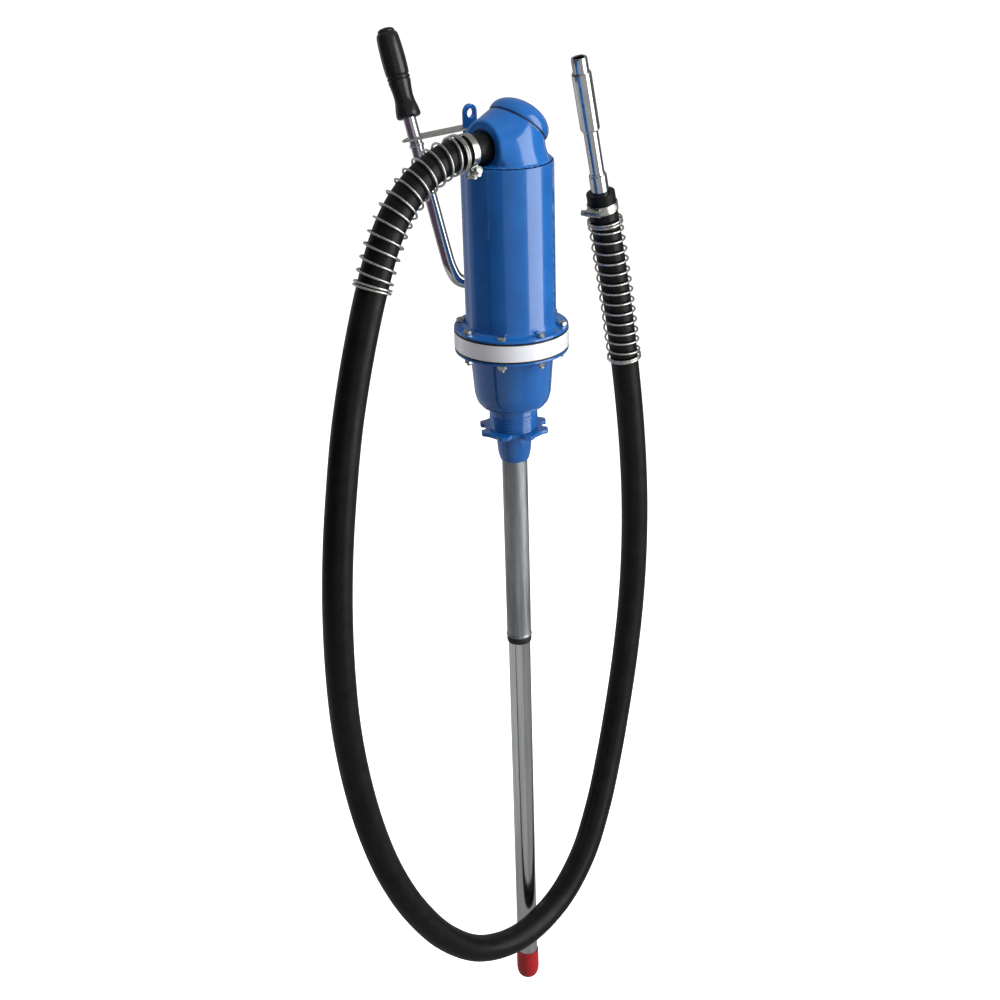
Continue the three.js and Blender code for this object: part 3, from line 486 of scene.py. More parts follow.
looks = {
    "blue_paint": blue_paint(),
    "zinc": plated("zinc", (0.46, 0.48, 0.43), (0.76, 0.77, 0.72), 0.27, 160),
    "spring_wire": plated("spring_wire", (0.62, 0.61, 0.57), (0.90, 0.89, 0.85), 0.3, 260),
    "chrome": plated("chrome", (0.60, 0.62, 0.64), (0.72, 0.73, 0.74), 0.09, 40, bump=0.006),
    "galvanised_tube": plated(
        "galvanised_tube", (0.30, 0.33, 0.35), (0.50, 0.52, 0.52), 0.42, 150, (1, 1, 0.06), 0.1
    ),
    "bright_tube": plated(
        "bright_tube", (0.62, 0.64, 0.64), (0.80, 0.81, 0.80), 0.15, 210, (1, 1, 0.03), 0.05
    ),
    "brass": plated("brass", (0.50, 0.33, 0.10), (0.72, 0.52, 0.20), 0.28, 120),
    "black_rubber": dull("black_rubber", (0.008, 0.008, 0.009), (0.016, 0.016, 0.017), 0.5),
    "hose_rubber": dull(
        "hose_rubber", (0.003, 0.003, 0.003), (0.008, 0.008, 0.0075), 0.36, 45, 800, shine=0.2
    ),
    "grip_plastic": dull(
        "grip_plastic", (0.007, 0.007, 0.007), (0.012, 0.012, 0.012), 0.22, 60, 1200, 0.02, coat=0.15
    ),
    "red_cap": dull("red_cap", (0.36, 0.006, 0.010), (0.50, 0.012, 0.016), 0.36, 40, 900, 0.06),
    "white_band": dull(
        "white_band", (0.78, 0.80, 0.84), (0.86, 0.87, 0.90), 0.22, 30, 700, 0.02, coat=0.4
    ),
}


def piece(obj, slot, body="pump", stands_for=()):
    """Gives a new piece its finish and its body, and hides the CAD nodes that it stands for."""
    obj.data.materials.clear()
    obj.data.materials.append(looks[slot])
    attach(obj, body)
    if stands_for:
        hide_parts(*stands_for)
    return obj


def keep(*names):
    """CAD nodes that stay as they are, with a finish."""
    slots = {part["node"]: part["material_slot"] for part in frame["record"]["subparts"]}
    for name in names:
        nodes[name].data.materials.clear()
        nodes[name].data.materials.append(looks[slots[name]])


# ---- Hose, with what sits on it ----

HOSE_R = 18
HOSE_ROUTE = [
    (-35.3, 0, 314), (-60, 0, 314), (-92, 0, 310), (-122, 0, 298.5), (-149, 0, 280),
    (-171, 0, 256), (-188, 0, 227), (-204, 0, 190), (-219, 0, 150), (-237, 0, 94),
    (-254, 0, 30), (-268, -1, -38), (-280, -2, -110), (-289, -4, -186), (-294, -7, -264),
    (-294, -10, -342), (-288, -15, -420), (-276, -21, -496), (-256, -27, -570),
    (-225, -33, -642), (-180, -38, -711), (-121, -41, -763), (-48, -42, -783),
    (25, -39, -765), (82, -33, -719), (123, -24, -658), (154, -15, -593), (179, -8, -523),
    (198, -4, -450), (212, -1, -376), (219, 0, -300), (220, 0, -222), (216, 0, -146),
    (208, 0, -70), (197, 0, 6), (184, 0, 82), (169, 0, 156), (153.5, 0, 228),
]
hose_line = curve_between(HOSE_ROUTE, 24)
hose_runs = [0.0]
for before, after in zip(hose_line, hose_line[1:]):
    hose_runs.append(hose_runs[-1] + (after - before).length)
HOSE_LENGTH = hose_runs[-1]

# Distances along the hose and turns around it, in degrees, of the two clamps.
OUTLET_CLAMP_AT, OUTLET_CLAMP_TURN = 26.2, 210
NOZZLE_CLAMP_AT, NOZZLE_CLAMP_TURN = HOSE_LENGTH - 19, 192


def on_hose(distance):
    """The hose's centre at a distance along it, with the directions up, side and along."""
    distance = min(max(distance, 0.0), HOSE_LENGTH)
    i = int(np.searchsorted(hose_runs, distance))
    i = min(max(i, 1), len(hose_line) - 1)
    share = (distance - hose_runs[i - 1]) / (hose_runs[i] - hose_runs[i - 1])
    centre = hose_line[i - 1].lerp(hose_line[i], share)
    first = hose_line[i] - hose_line[max(i - 2, 0)]
    second = hose_line[min(i + 1, len(hose_line) - 1)] - hose_line[i - 1]
    along = first.normalized().lerp(second.normalized(), share).normalized()
    side = Vector((0, 1, 0))
    side = (side - side.dot(along) * along).normalized()
    return centre, side.cross(along), side, along


def hose_place(distance, turn=0.0):
    """A matrix for a shape made along Z and turned about it, at a place on the hose."""
    centre, up, side, along = on_hose(distance)
    basis = Matrix((up, side, along)).transposed().to_4x4()
    return Matrix.Translation(centre) @ basis @ Matrix.Rotation(math.radians(turn), 4, "Z")


def make_hose():
    """The hose with a short bore at both ends. Its first end sits in the head's horn."""
    segments, spacing = 40, 6
    bore, depth, lip = 11.4, 12, 0.9
    into_horn = Vector((1.9, 0, 0))

    def ring(distance, radius):
        centre, up, side, _ = on_hose(distance)
        if radius < 1e-6:
            return [centre]
        section = [math.cos(a) * up + math.sin(a) * side for a in angles(segments)]
        return [centre + radius * direction for direction in section]

    rows = [ring(depth, 0), ring(depth, bore), ring(0, bore)]
    rows += [[p + into_horn for p in ring(0, radius)] for radius in (bore, 17.2, 17.8)]
    rows += [ring(0, HOSE_R), ring(lip, HOSE_R)]
    count = int(HOSE_LENGTH / spacing)
    for i in range(1, count):
        distance = lip + (HOSE_LENGTH - 2 * lip) * i / count
        rows.append(ring(distance, HOSE_R - squeeze(distance)))
    end = HOSE_LENGTH
    rows += [ring(end - lip, HOSE_R), ring(end - 0.25, 17.7), ring(end, 17.2), ring(end, 12)]
    rows += [ring(end - 0.8, bore), ring(end - depth, bore), ring(end - depth, 0)]
    return mesh_object("pump_hose", *skin(rows), sharp=40)


def squeeze(distance):
    """How far the clamps press the hose in."""
    depth = 0.0
    for at, half in ((OUTLET_CLAMP_AT, 6), (NOZZLE_CLAMP_AT, 7)):
        depth += 0.35 * math.exp(-((distance - at) / half) ** 4)
    return depth


def make_spring(name, start, end):
    """A loose wire guard around the hose, with closed turns at both ends."""
    wire, radius, pitch = 1.35, 21.3, 3.1
    turns, closed, steps = 17, 2, 26
    middle = (end - start) - 2 * closed * pitch
    points = []
    for i in range(turns * steps + 1):
        turn = i / steps
        if turn <= closed:
            distance = start + pitch * turn
        elif turn >= turns - closed:
            distance = end - pitch * (turns - turn)
        else:
            share = (turn - closed) / (turns - 2 * closed)
            distance = start + closed * pitch + middle * share
        sway = 0.35 * math.sin(turn * 2.4) + 0.25 * math.sin(turn * 5.1 + 1)
        centre, up, side, _ = on_hose(distance + sway)
        angle = 2 * math.pi * turn
        reach = radius + 0.15 * math.sin(turn * 1.7)
        points.append(centre + reach * (math.cos(angle) * side + math.sin(angle) * up))
    return sweep(name, points, wire, 10, sharp=60)


def hexagon(name, flats, low, high, place, bore=0.0):
    """A hexagonal head, or a nut if it has a bore, with chamfered corners, along Z."""
    segments = 48
    apothem = flats / 2
    cut = 0.95 * apothem

    def edge(a):
        return apothem / math.cos((a + math.pi / 6) % (math.pi / 3) - math.pi / 6)

    def ring(radius_of, height_of):
        return [
            place @ Vector((radius_of(a) * math.cos(a), radius_of(a) * math.sin(a), height_of(a)))
            for a in angles(segments)
        ]

    def drop(a):
        return (edge(a) - cut) * math.tan(math.radians(30))

    rows = [
        ring(lambda a: cut, lambda a: low),
        ring(edge, lambda a: low + drop(a)),
        ring(edge, lambda a: high - drop(a)),
        ring(lambda a: cut, lambda a: high),
    ]
    if bore:
        rows.append(ring(lambda a: bore + 0.5, lambda a: high))
        rows.append(ring(lambda a: bore, lambda a: high - 0.5))
        rows.append(ring(lambda a: bore, lambda a: low + 0.5))
        rows.append(ring(lambda a: bore + 0.5, lambda a: low))
        return mesh_object(name, *skin(rows, True), sharp=25)
    rows.insert(0, [place @ Vector((0, 0, low))])
    rows.append([place @ Vector((0, 0, high))])
    return mesh_object(name, *skin(rows), sharp=25)


def threaded(name, radius, depth, pitch, low, high, place, segments, inner=0.0, tail=1.0):
    """A rod with a helical thread that fades out over a tail at both ends, or a threaded tube if
    it has an inner radius."""
    per_pitch = 8
    count = max(int((high - low) / pitch * per_pitch), 4)
    rows = []
    for j in range(count + 1):
        z = low + (high - low) * j / count
        full = max(min(1.0, (z - low) / tail, (high - z) / tail), 0)
        row = []
        for i, a in enumerate(angles(segments)):
            phase = (z / pitch - i / segments) % 1.0
            groove = abs(2 * phase - 1)
            r = radius - depth * groove * full - depth * 0.5 * (1 - full)
            row.append(place @ Vector((r * math.cos(a), r * math.sin(a), z)))
        rows.append(row)
    if inner:
        rows.append([place @ p for p in circle(inner, high, segments)])
        rows.append([place @ p for p in circle(inner, low, segments)])
        return mesh_object(name, *skin(rows, True), sharp=70)
    rows = [[place @ Vector((0, 0, low))]] + rows + [[place @ Vector((0, 0, high))]]
    return mesh_object(name, *skin(rows), sharp=70)


def make_outlet_clamp():
    """A flat band with two upturned ears for its bolt."""
    place = hose_place(OUTLET_CLAMP_AT, OUTLET_CLAMP_TURN)
    inner, outer, half = 19.0, 20.3, 4.5
    gap = math.asin(3.0 / 19.5)
    section = rounded([
        (inner, -half, 0.4), (inner, half, 0.4), (outer, half, 0.4), (outer, -half, 0.4),
    ], 2)
    rows = []
    for k in range(73):
        a = gap + (2 * math.pi - 2 * gap) * k / 72
        rows.append([place @ Vector((r * math.cos(a), r * math.sin(a), z)) for r, z in section])
    start, end = (sum(row, Vector()) / len(row) for row in (rows[0], rows[-1]))
    parts = [mesh_object("band", *skin([[start]] + rows + [[end]]))]
    ear = [(19.2, -half), (28.0, -half)] + arc((28.0, 0), half, -80, 80, 10)
    ear += [(28.0, half), (19.2, half)]
    for sign in (1, -1):
        stand = place @ Matrix.Translation((0, sign * 4.0, 0)) @ Matrix.Rotation(math.pi / 2, 4, "X")
        parts.append(flat_plate("ear", [ear], 1.5, 0.35, stand))
    return joined("outlet_band_clamp", parts)


def make_outlet_bolt():
    place = hose_place(OUTLET_CLAMP_AT, OUTLET_CLAMP_TURN) @ Matrix.Translation((HOSE_R + 7.5, 0, 0))
    place = place @ Matrix.Rotation(math.pi / 2, 4, "X")
    parts = [
        hexagon("head", 8.6, -9.3, -5.9, place),
        lathe("washer", [(2.7, -5.9), (5.3, -5.9, 0.2), (5.3, -5.2, 0.2), (2.7, -5.2)], place, 40),
        threaded("shank", 2.5, 0.35, 0.9, -6, 16.8, place, 24),
        hexagon("nut", 8.4, 5.3, 9.2, place, bore=2.2),
    ]
    return joined("outlet_clamp_screw", parts)


def make_worm_clamp():
    """A slotted worm-drive band with its screw housing."""
    place = hose_place(NOZZLE_CLAMP_AT, NOZZLE_CLAMP_TURN)
    rows = []
    for k, a in enumerate(angles(180)):
        slotted = k % 4 < 2 and 40 < k < 150
        floor = 19.35 - 0.35 if slotted else 19.35
        section = [
            (18.2, -5.5), (18.2, 5.5), (19.2, 5.5), (19.35, 5.0), (19.35, 3.2),
            (floor, 3.0), (floor, -3.0), (19.35, -3.2), (19.35, -5.0), (19.2, -5.5),
        ]
        rows.append([place @ Vector((r * math.cos(a), r * math.sin(a), z)) for r, z in section])
    band = mesh_object("band", *skin(rows, True), sharp=35)
    return joined("worm_band_clamp", [band, make_worm_housing(place)])


def make_worm_housing(place):
    """A pressed housing that arches over the worm, open at its ends."""
    outer = [(18.6, -5.3), (20.6, -5.5)] + arc((22.9, 0), 4.4, -62, 62, 14) + [(20.6, 5.5), (18.6, 5.3)]
    inner = [(19.9, 4.1)] + arc((22.9, 0), 3.5, 62, -62, 14) + [(19.9, -4.1)]
    loop = outer + inner
    middle = Vector((22.3, 0, 0))
    rows = []
    for y, size in ((-9.0, 0.97), (-8.6, 1.0), (8.6, 1.0), (9.0, 0.97)):
        row = []
        for x, z in loop:
            point = middle + (Vector((x, 0, z)) - middle) * size
            row.append(place @ Vector((point.x, y, point.z)))
        rows.append(row)
    points, faces = skin(rows)
    # The ends are closed between the outer and the inner arch.
    count, half = len(loop), len(outer)
    for start, far_end in ((0, False), ((len(rows) - 1) * count, True)):
        for i in range(half - 1):
            j = count - 1 - min(i, count - half - 1)
            k = count - 1 - min(i + 1, count - half - 1)
            face = list(dict.fromkeys((start + i, start + i + 1, start + k, start + j)))
            faces.append(face if far_end else face[::-1])
    return mesh_object("housing", points, faces, sharp=35)


def make_worm_screw():
    place = hose_place(NOZZLE_CLAMP_AT, NOZZLE_CLAMP_TURN) @ Matrix.Translation((HOSE_R + 4.9, 0, 0))
    place = place @ Matrix.Rotation(math.pi / 2, 4, "X")
    parts = [
        threaded("worm", 3.1, 0.6, 1.8, -11, 9.8, place, 28),
        lathe("flange", [(0, 9.7), (4.1, 9.7, 0.3), (4.1, 10.8, 0.3), (0, 10.8)], place, 40),
        hexagon("hex", 7.0, 10.8, 15.9, place),
    ]
    return joined("worm_screw", parts)


hose = piece(make_hose(), "hose_rubber", stands_for=["hose"])
outlet_guard = piece(make_spring("outlet_guard", 37, 234), "spring_wire", stands_for=["outlet_spring"])
nozzle_guard = piece(
    make_spring("nozzle_guard", HOSE_LENGTH - 232, HOSE_LENGTH - 36),
    "spring_wire",
    stands_for=["nozzle_spring"],
)
outlet_clamp = piece(make_outlet_clamp(), "zinc", stands_for=["outlet_clamp"])
outlet_screw = piece(make_outlet_bolt(), "zinc", stands_for=["outlet_clamp_bolt"])
worm_clamp = piece(make_worm_clamp(), "zinc", stands_for=["nozzle_clamp"])
worm_screw = piece(make_worm_screw(), "zinc", stands_for=["nozzle_clamp_screw"])
stem = piece(lathe("nozzle_tail", [
    (7, -11, 0.3), (11.2, -11, 0.3), (11.2, 22, 0.8), (10.9, 23.2, 0.4), (9.6, 23.6, 0.4),
    (9.6, 25.2, 0.4), (9.1, 25.8, 0.3), (9.1, 94), (7, 94),
], hose_place(HOSE_LENGTH)), "chrome", stands_for=["nozzle_stem"])
keep("nozzle_sleeve", "nozzle_mouth")


# ---- Cylinder, flanges, gaskets and bowl ----

FLANGE_R = 69
BODY_R = 54.5
BORE_R = 51
FLANGE_LOW, FLANGE_HIGH = 93, 96.5
BODY_TOP = 294
SHAFT_Y, SHAFT_Z = 54, 124
SHAFT_BOSS_R = 15

piece(lathe("pump_cylinder", [
    (BORE_R, FLANGE_LOW), (FLANGE_R, FLANGE_LOW, 0.9), (FLANGE_R, FLANGE_HIGH, 1.3),
    (58.6, FLANGE_HIGH, 2), (55.2, 98.2, 1.5), (BODY_R, 103, 2),
    (BODY_R, BODY_TOP, 1.7), (52.9, BODY_TOP, 0.8), (52.9, 288, 0.5), (BORE_R, 288),
], segments=160), "blue_paint")


def housing_field(p):
    """The shaft housing, blended into a patch of wall that lies just under the turned cylinder."""
    x, y, z = p[..., 0], p[..., 1], p[..., 2]
    from_shaft = np.hypot(y - SHAFT_Y, z - SHAFT_Z)
    ends = np.maximum(-13 - x, x - 36)
    barrel = smooth_max(from_shaft - SHAFT_BOSS_R, ends, 2.0)
    root = np.maximum(ends, np.maximum(np.abs(z - SHAFT_Z) - SHAFT_BOSS_R, y - SHAFT_Y))
    barrel = smooth_min(barrel, smooth_max(root, 40 - y, 1), 2)
    wall = np.hypot(x, y) - (BODY_R - 0.15)
    shape = smooth_min(barrel, wall, 7)
    bore = np.maximum(from_shaft - 9, 6 - x)
    shape = np.maximum(shape, -bore)
    patch = np.maximum(np.abs(z - SHAFT_Z) - 24.5, np.maximum(np.abs(x - 8.5) - 38, 26 - y))
    return np.maximum(np.maximum(shape, patch), BORE_R + 0.3 - np.hypot(x, y))


def seal_outline(low):
    """A flat ring, 1.5 mm thick, that shows a little past the flanges."""
    rim = FLANGE_R + 0.3
    return [(BORE_R, low), (rim, low, 0.3), (rim, low + 1.5, 0.3), (BORE_R, low + 1.5)]


piece(field_mesh("shaft_housing", housing_field, (-33, 22, 96), (50, 73, 152), 1.3), "blue_paint",
      stands_for=["cylinder"])
piece(lathe("upper_seal_ring", seal_outline(91.2), segments=128), "black_rubber",
      stands_for=["upper_gasket"])
piece(lathe("lower_seal_ring", seal_outline(69.3), segments=128), "black_rubber",
      stands_for=["lower_gasket"])
band_low, band_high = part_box("label_band")
piece(lathe("plain_band", [
    (68.25, band_low.z / MM), (band_high.x / MM, band_low.z / MM, 0.3),
    (band_high.x / MM, band_high.z / MM, 0.3), (68.25, band_high.z / MM),
], segments=160), "white_band", stands_for=["label_band"])
piece(lathe("pump_bowl", [
    (30.1, 0), (35.4, 0, 0.4), (35.4, -6, 0.5), (39.4, -6, 0.9), (39.9, -4.6, 0.6),
    (39.5, -3.9, 0.3), (40.6, -3.3, 0.4), (43.0, -1.6, 1.2), (45.3, 4, 2.5), (46.9, 11, 3),
    (47.8, 24, 5), (49.4, 45, 5), (50.8, 61.5, 2), (53, 65.3, 1.6), (55, 65.5, 0.5),
    (FLANGE_R, 65.5, 1.1), (FLANGE_R, 69, 0.9), (45, 69), (42, 28, 3), (37, 10, 3), (30.1, 7),
], segments=160), "blue_paint", stands_for=["bowl"])


# ---- Bolts and nuts of the flange ----

BOLT_COUNT, BOLT_CIRCLE_R, FIRST_BOLT = 8, 62, 36.8
HEX_FLATS = 9.7


def hex_turned(spot, degrees):
    """A place for a bolt's head or nut, each tightened to its own angle."""
    return spot @ Matrix.Rotation(math.radians(degrees), 4, "Z")


for i in range(BOLT_COUNT):
    angle = math.radians(FIRST_BOLT + 360 // BOLT_COUNT * i)
    spot = Matrix.Translation((BOLT_CIRCLE_R * math.cos(angle), BOLT_CIRCLE_R * math.sin(angle), 0))
    head_place = hex_turned(spot, 23 * i + 8)
    washer = [(2.9, 96.75), (5.6, 96.75, 0.2), (5.6, 97.3, 0.2), (2.9, 97.3)]
    bolt = joined(f"bolt_{i + 1}", [
        lathe("washer", washer, head_place, 40),
        hexagon("head", HEX_FLATS, 97.2, 101.2, head_place),
        threaded("shank", 2.85, 0.3, 1.0, 57.2, 97.2, head_place, 20),
    ])
    piece(bolt, "zinc", stands_for=[f"flange_bolt_{i + 1}"])
    nut = hexagon(f"nut_{i + 1}", HEX_FLATS, 60.2, 65.2, hex_turned(spot, 17 * i + 31), bore=3.3)
    piece(nut, "zinc", stands_for=[f"flange_nut_{i + 1}"])


# ---- Neck, lug ring and suction tubes ----

def make_neck():
    """The bung's neck, with a helical pipe thread below a plain collar."""
    thread = threaded("thread", 29.8, 0.75, 2.309, -39.6, -16.5, UPRIGHT, 120, inner=25, tail=1.6)
    collar = lathe("collar", [
        (25, -17), (29.2, -17, 0.2), (29.8, -15.8, 0.5), (29.8, 6.5), (25, 6.5),
    ], segments=120)
    return joined("threaded_neck", [thread, collar])


piece(make_neck(), "blue_paint", stands_for=["bung_neck"])


def lug_outline():
    """Four ears, each with a notch, around a thin nut."""
    ear, notch = 40.8, 34.6
    half = [
        ((32, -25), (35.5, -22.5), (38, -21.5)), ((38, -21.5), (ear + 1.2, -19.8), (ear, -14)),
        ((ear, -14), (ear + 0.6, -8.6), (39, -8.4)), ((39, -8.4), (notch + 0.3, -8.2), (notch, -2)),
    ]
    points = []
    for start, control, end in half:
        a, b, c = Vector(start), Vector(control), Vector(end)
        points += [tuple(a.lerp(b, k / 8).lerp(b.lerp(c, k / 8), k / 8)) for k in range(8)]
    points.append((notch, -2))
    quarter = points + [(x, -y) for x, y in reversed(points)]
    out = []
    for i in range(4):
        turn = Matrix.Rotation(math.pi / 2 * i, 2)
        out += [tuple(turn @ Vector(p)) for p in quarter]
    return out


ring_place = Matrix.Translation((0, 0, -38.5)) @ Matrix.Rotation(math.radians(51.8), 4, "Z")
ring_hole = arc((0, 0), 30.2, 0, 360 - 3, 119)
piece(flat_plate("ear_ring", [lug_outline(), ring_hole], 5, 0.9, ring_place), "blue_paint",
      "lug_ring", ["lug_ring"])
piece(lathe("tube_boss", [
    (16.5, -80), (17.4, -80, 0.5), (18.4, -78, 1.2), (20.3, -70, 3), (21.3, -60, 3),
    (21.6, -52, 2), (21.6, -42.2, 0.8), (24.7, -41.6, 0.6), (24.7, -22), (14.9, -22),
    (14.9, -43.6), (16.5, -43.6),
], segments=120), "blue_paint", stands_for=["tube_socket"])
piece(lathe("upper_pipe", [
    (14.8, -333), (16.3, -333, 0.5), (16.75, -332, 0.6), (16.75, -331, 0.7),
    (16.1, -329.7, 0.6), (15.9, -328.6, 0.8), (15.9, -44), (14.8, -44),
], segments=96), "galvanised_tube", stands_for=["upper_tube"])
seal_low, seal_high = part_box("tube_seal")
piece(lathe("pipe_seal", [
    (14.6, seal_low.z / MM), (15.6, seal_low.z / MM, 0.5), (16.1, seal_low.z / MM + 1.6, 0.6),
    (16.1, -335, 0.6), (15.7, -333.3, 0.4), (14.6, -333.3),
], segments=96), "black_rubber", stands_for=["tube_seal"])
piece(lathe("lower_pipe", [
    (13.1, -892, 0.2), (14.3, -892, 0.4), (14.3, -265, 0.4), (13.1, -265, 0.2),
], segments=96), "bright_tube", "lower_tube", ["lower_tube"])
piece(lathe("soft_cap", [
    (0, -910), (5, -909.7, 2), (9.5, -908, 3), (13, -904.6, 3), (15.1, -899.6, 3),
    (15.9, -893, 3), (15.9, -877, 4), (15.75, -862.2, 0.5), (15.5, -861, 0.5),
    (14.7, -861, 0.2), (14.6, -892.3), (0, -892.3),
], segments=96), "red_cap", "end_cap", ["end_cap"])


# ---- Head, lug, dome cap ----

CAP_CENTRE = Vector((16.8, 0, 330.5))
LEAN = math.radians(41)
cap_axis = Vector((math.sin(LEAN), 0, math.cos(LEAN)))
cap_place = Matrix.Translation(CAP_CENTRE) @ Matrix.Rotation(LEAN, 4, "Y")
PIVOT_X, PIVOT_Z = 55.3, 297.0
OUTLET_Z, OUTLET_FACE = 314, 35
HEAD_LOW = 294.5


def bend_field(x, y, z):
    """Round sections that turn about a pivot, from the head's base to the cap's seam."""
    angle = np.arctan2(z - PIVOT_Z, np.maximum(PIVOT_X - x, 0.5))
    share = np.clip(angle / LEAN, 0, 1)
    reach = np.hypot(PIVOT_X - x, z - PIVOT_Z)
    far = 6.4 + 8.2 * share**1.4
    near = 106.0 - 18.6 * share**1.5
    width = 50.2 - 13.8 * share**1.1
    half = (near - far) / 2
    return (np.hypot((reach - far - half) / half, y / width) - 1) * np.minimum(half, width)


def head_field(p):
    """The head casting: a bend cut to a slightly dished face for the outlet, with a low boss
    around the hose, a skirt on the cylinder and a web for the padlock lug."""
    x, y, z = p[..., 0], p[..., 1], p[..., 2]
    out, around = -x, np.hypot(y, z - OUTLET_Z)
    face = out - OUTLET_FACE - 0.32 * np.clip(around - 23.5, 0, 7)
    body = smooth_max(bend_field(x, y, z), face, 4)
    horn = np.maximum(smooth_max(around - 35.5 + 0.12 * out, face, 5), 10 - out)
    shape = smooth_min(body, horn, 8)
    boss = smooth_max(around - 23, out - OUTLET_FACE - 1.2, 1)
    shape = smooth_min(shape, np.maximum(boss, 10 - out), 1.2)
    skirt = smooth_max(np.hypot(x, y) - 52.4, z - HEAD_LOW - 1.5, 0.8)
    shape = smooth_min(shape, skirt, 2)
    web = smooth_max(np.abs(x) - 8, np.abs(z - 306.2) - 5.8, 2)
    web = smooth_max(web, np.maximum(y - 62, 30 - y), 1)
    shape = smooth_min(shape, web, 6)

    # The cuts at the seam, the base, the groove around the hose, the bore and the hollow.
    seam = (x - CAP_CENTRE.x) * cap_axis.x + (z - CAP_CENTRE.z) * cap_axis.z
    shape = smooth_max(shape, seam + 0.9, 0.6)
    shape = smooth_max(shape, HEAD_LOW - z, 0.6)
    groove = np.maximum(around - 20.4, 33 - out)
    shape = smooth_max(shape, -groove, 1.6)
    bore = np.maximum(around - 16.5, 5 - out)
    hollow = np.maximum(body + 6, seam)
    return np.maximum(shape, -np.minimum(bore, hollow))


def make_lug():
    """An upright plate with a round hole for a padlock."""
    outline = [(9.5, 299), (9.5, 340.5)] + arc((0, 340.5), 9.5, 0, 180, 24)[1:] + [(-9.5, 299)]
    hole = arc((0, 339.5), 5.6, 0, 348, 31)
    stand = Matrix.Translation((0, 62.75, 0)) @ Matrix.Rotation(math.pi / 2, 4, "X")
    return flat_plate("padlock_plate", [outline, hole], 5.5, 0.7, stand)


casting = field_mesh("outlet_head", head_field, (-56, -58, 292), (58, 66, 362), 1.25, sharp=60)
piece(casting, "blue_paint", stands_for=["head_casting"])
piece(make_lug(), "blue_paint")
piece(lathe("seam_rim", [
    (31, -4), (36.1, -4, 0.3), (36.75, -3.2, 0.6), (36.75, 0, 0.5), (31, 0),
], cap_place, 128), "blue_paint")
piece(lathe("seam_seal", [
    (31.8, 0.3), (36.45, 0.3), (36.45, 1.5), (31.8, 1.5),
], cap_place, 128), "black_rubber", stands_for=["dome_gasket"])


def dome_outline():
    """Half the section of a hollow dome, up the outside and back down the inside."""
    outline = [(32, 1.8), (36.8, 1.8, 0.5), (36.95, 2.8), (37.1, 3.8)]
    for k in range(1, 24):
        a = math.pi / 2 * k / 24
        outline.append((37.1 * math.cos(a) ** 0.96, 4.5 + 22.5 * math.sin(a)))
    outline += [(0, 27), (0, 22)]
    for k in range(7, -1, -1):
        a = math.pi / 2 * k / 8
        outline.append((32 * math.cos(a), 4 + 18 * math.sin(a)))
    return outline


piece(lathe("head_dome", dome_outline(), cap_place, 128), "blue_paint", stands_for=["dome_cap"])


# ---- Lever, grip and hasp ----

LEVER_SLOPE = 0.3696
COLLAR_Z, GRIP_Z, HASP_Z = 287, 318.6, 296
lever_axis = Vector((0, LEVER_SLOPE, 1)).normalized()


def lever_y(z):
    """Where the straight part of the lever is at a height."""
    return 131.1 + LEVER_SLOPE * (z - 199.7)


def make_rod():
    """A bar that leaves the hub, bends round and rises to the grip."""
    bend = [
        (54, 62, 123.4), (53.6, 72, 122), (50, 84, 121), (42, 94, 121), (24, lever_y(118) - 0.5, 121),
        (8, lever_y(128) + 0.5, 128), (1, lever_y(145), 145),
    ]
    rise = [(0, lever_y(z), z) for z in (170, 217.6, 265.2, 312.8, 360.4, 408)]
    return sweep("lever_bar", curve_between(bend + rise, 14), 8, 40)


def hub_field(p):
    """The lever's hub on the cross shaft, with a stub that holds the bar."""
    x, y, z = p[..., 0], p[..., 1], p[..., 2]
    from_shaft = np.hypot(y - SHAFT_Y, z - SHAFT_Z)
    hub = smooth_max(from_shaft - SHAFT_BOSS_R, np.abs(x - 54) - 7, 1.6)
    stub = np.maximum(np.hypot(x - 53.8, z - 123.2) - 8.1, np.abs(y - 66) - 8)
    shape = smooth_min(hub, stub, 5)
    return smooth_max(shape, 6.1 - from_shaft, 0.8)


piece(make_rod(), "chrome", "lever", ["lever_rod"])
piece(field_mesh("lever_hub", hub_field, (44, 35, 105), (64, 77, 143), 0.9), "chrome", "lever")
piece(lathe("rod_collar", [
    (7.9, -2), (8.6, -2, 0.3), (9.3, -1, 0.6), (9.3, 1, 0.6), (8.6, 2, 0.3), (7.9, 2),
], placed((0, lever_y(COLLAR_Z), COLLAR_Z), lever_axis), 64), "chrome", "lever")

grip_place = placed((0, lever_y(GRIP_Z), GRIP_Z), lever_axis)
piece(lathe("hand_grip", [
    (8.3, 0), (12.6, 0, 0.6), (15, 1.6, 1.6), (15.2, 5, 2), (14.4, 11, 3), (12.6, 19, 3),
    (11.9, 26, 3), (12.4, 34, 4), (13.9, 44.4, 2), (14, 45.6, 0.5), (12.9, 46.3, 0.4),
    (12.9, 46.9, 0.4), (14.1, 47.5, 0.5), (14.2, 49.2, 0.6), (14, 50.7, 0.5), (12.9, 51.3, 0.4),
    (12.9, 51.9, 0.4), (14, 52.5, 0.7), (14.5, 56, 2), (14.9, 66, 4), (14.9, 76, 4), (14.5, 88, 4),
    (13.8, 98, 3), (12.8, 102.4, 1.8), (11.2, 104, 0.6), (0, 104), (0, 95.8), (8.3, 95.8),
], grip_place), "grip_plastic", "lever", ["grip"])
piece(lathe("end_button", [
    (0, 104.3), (10.4, 104.3, 0.2), (10.6, 105.4, 0.6), (10.3, 106.6, 0.8), (9, 108.2, 1.2),
    (6.2, 109.4, 1.5), (0, 109.8),
], grip_place), "grip_plastic", "lever", ["grip_button"])


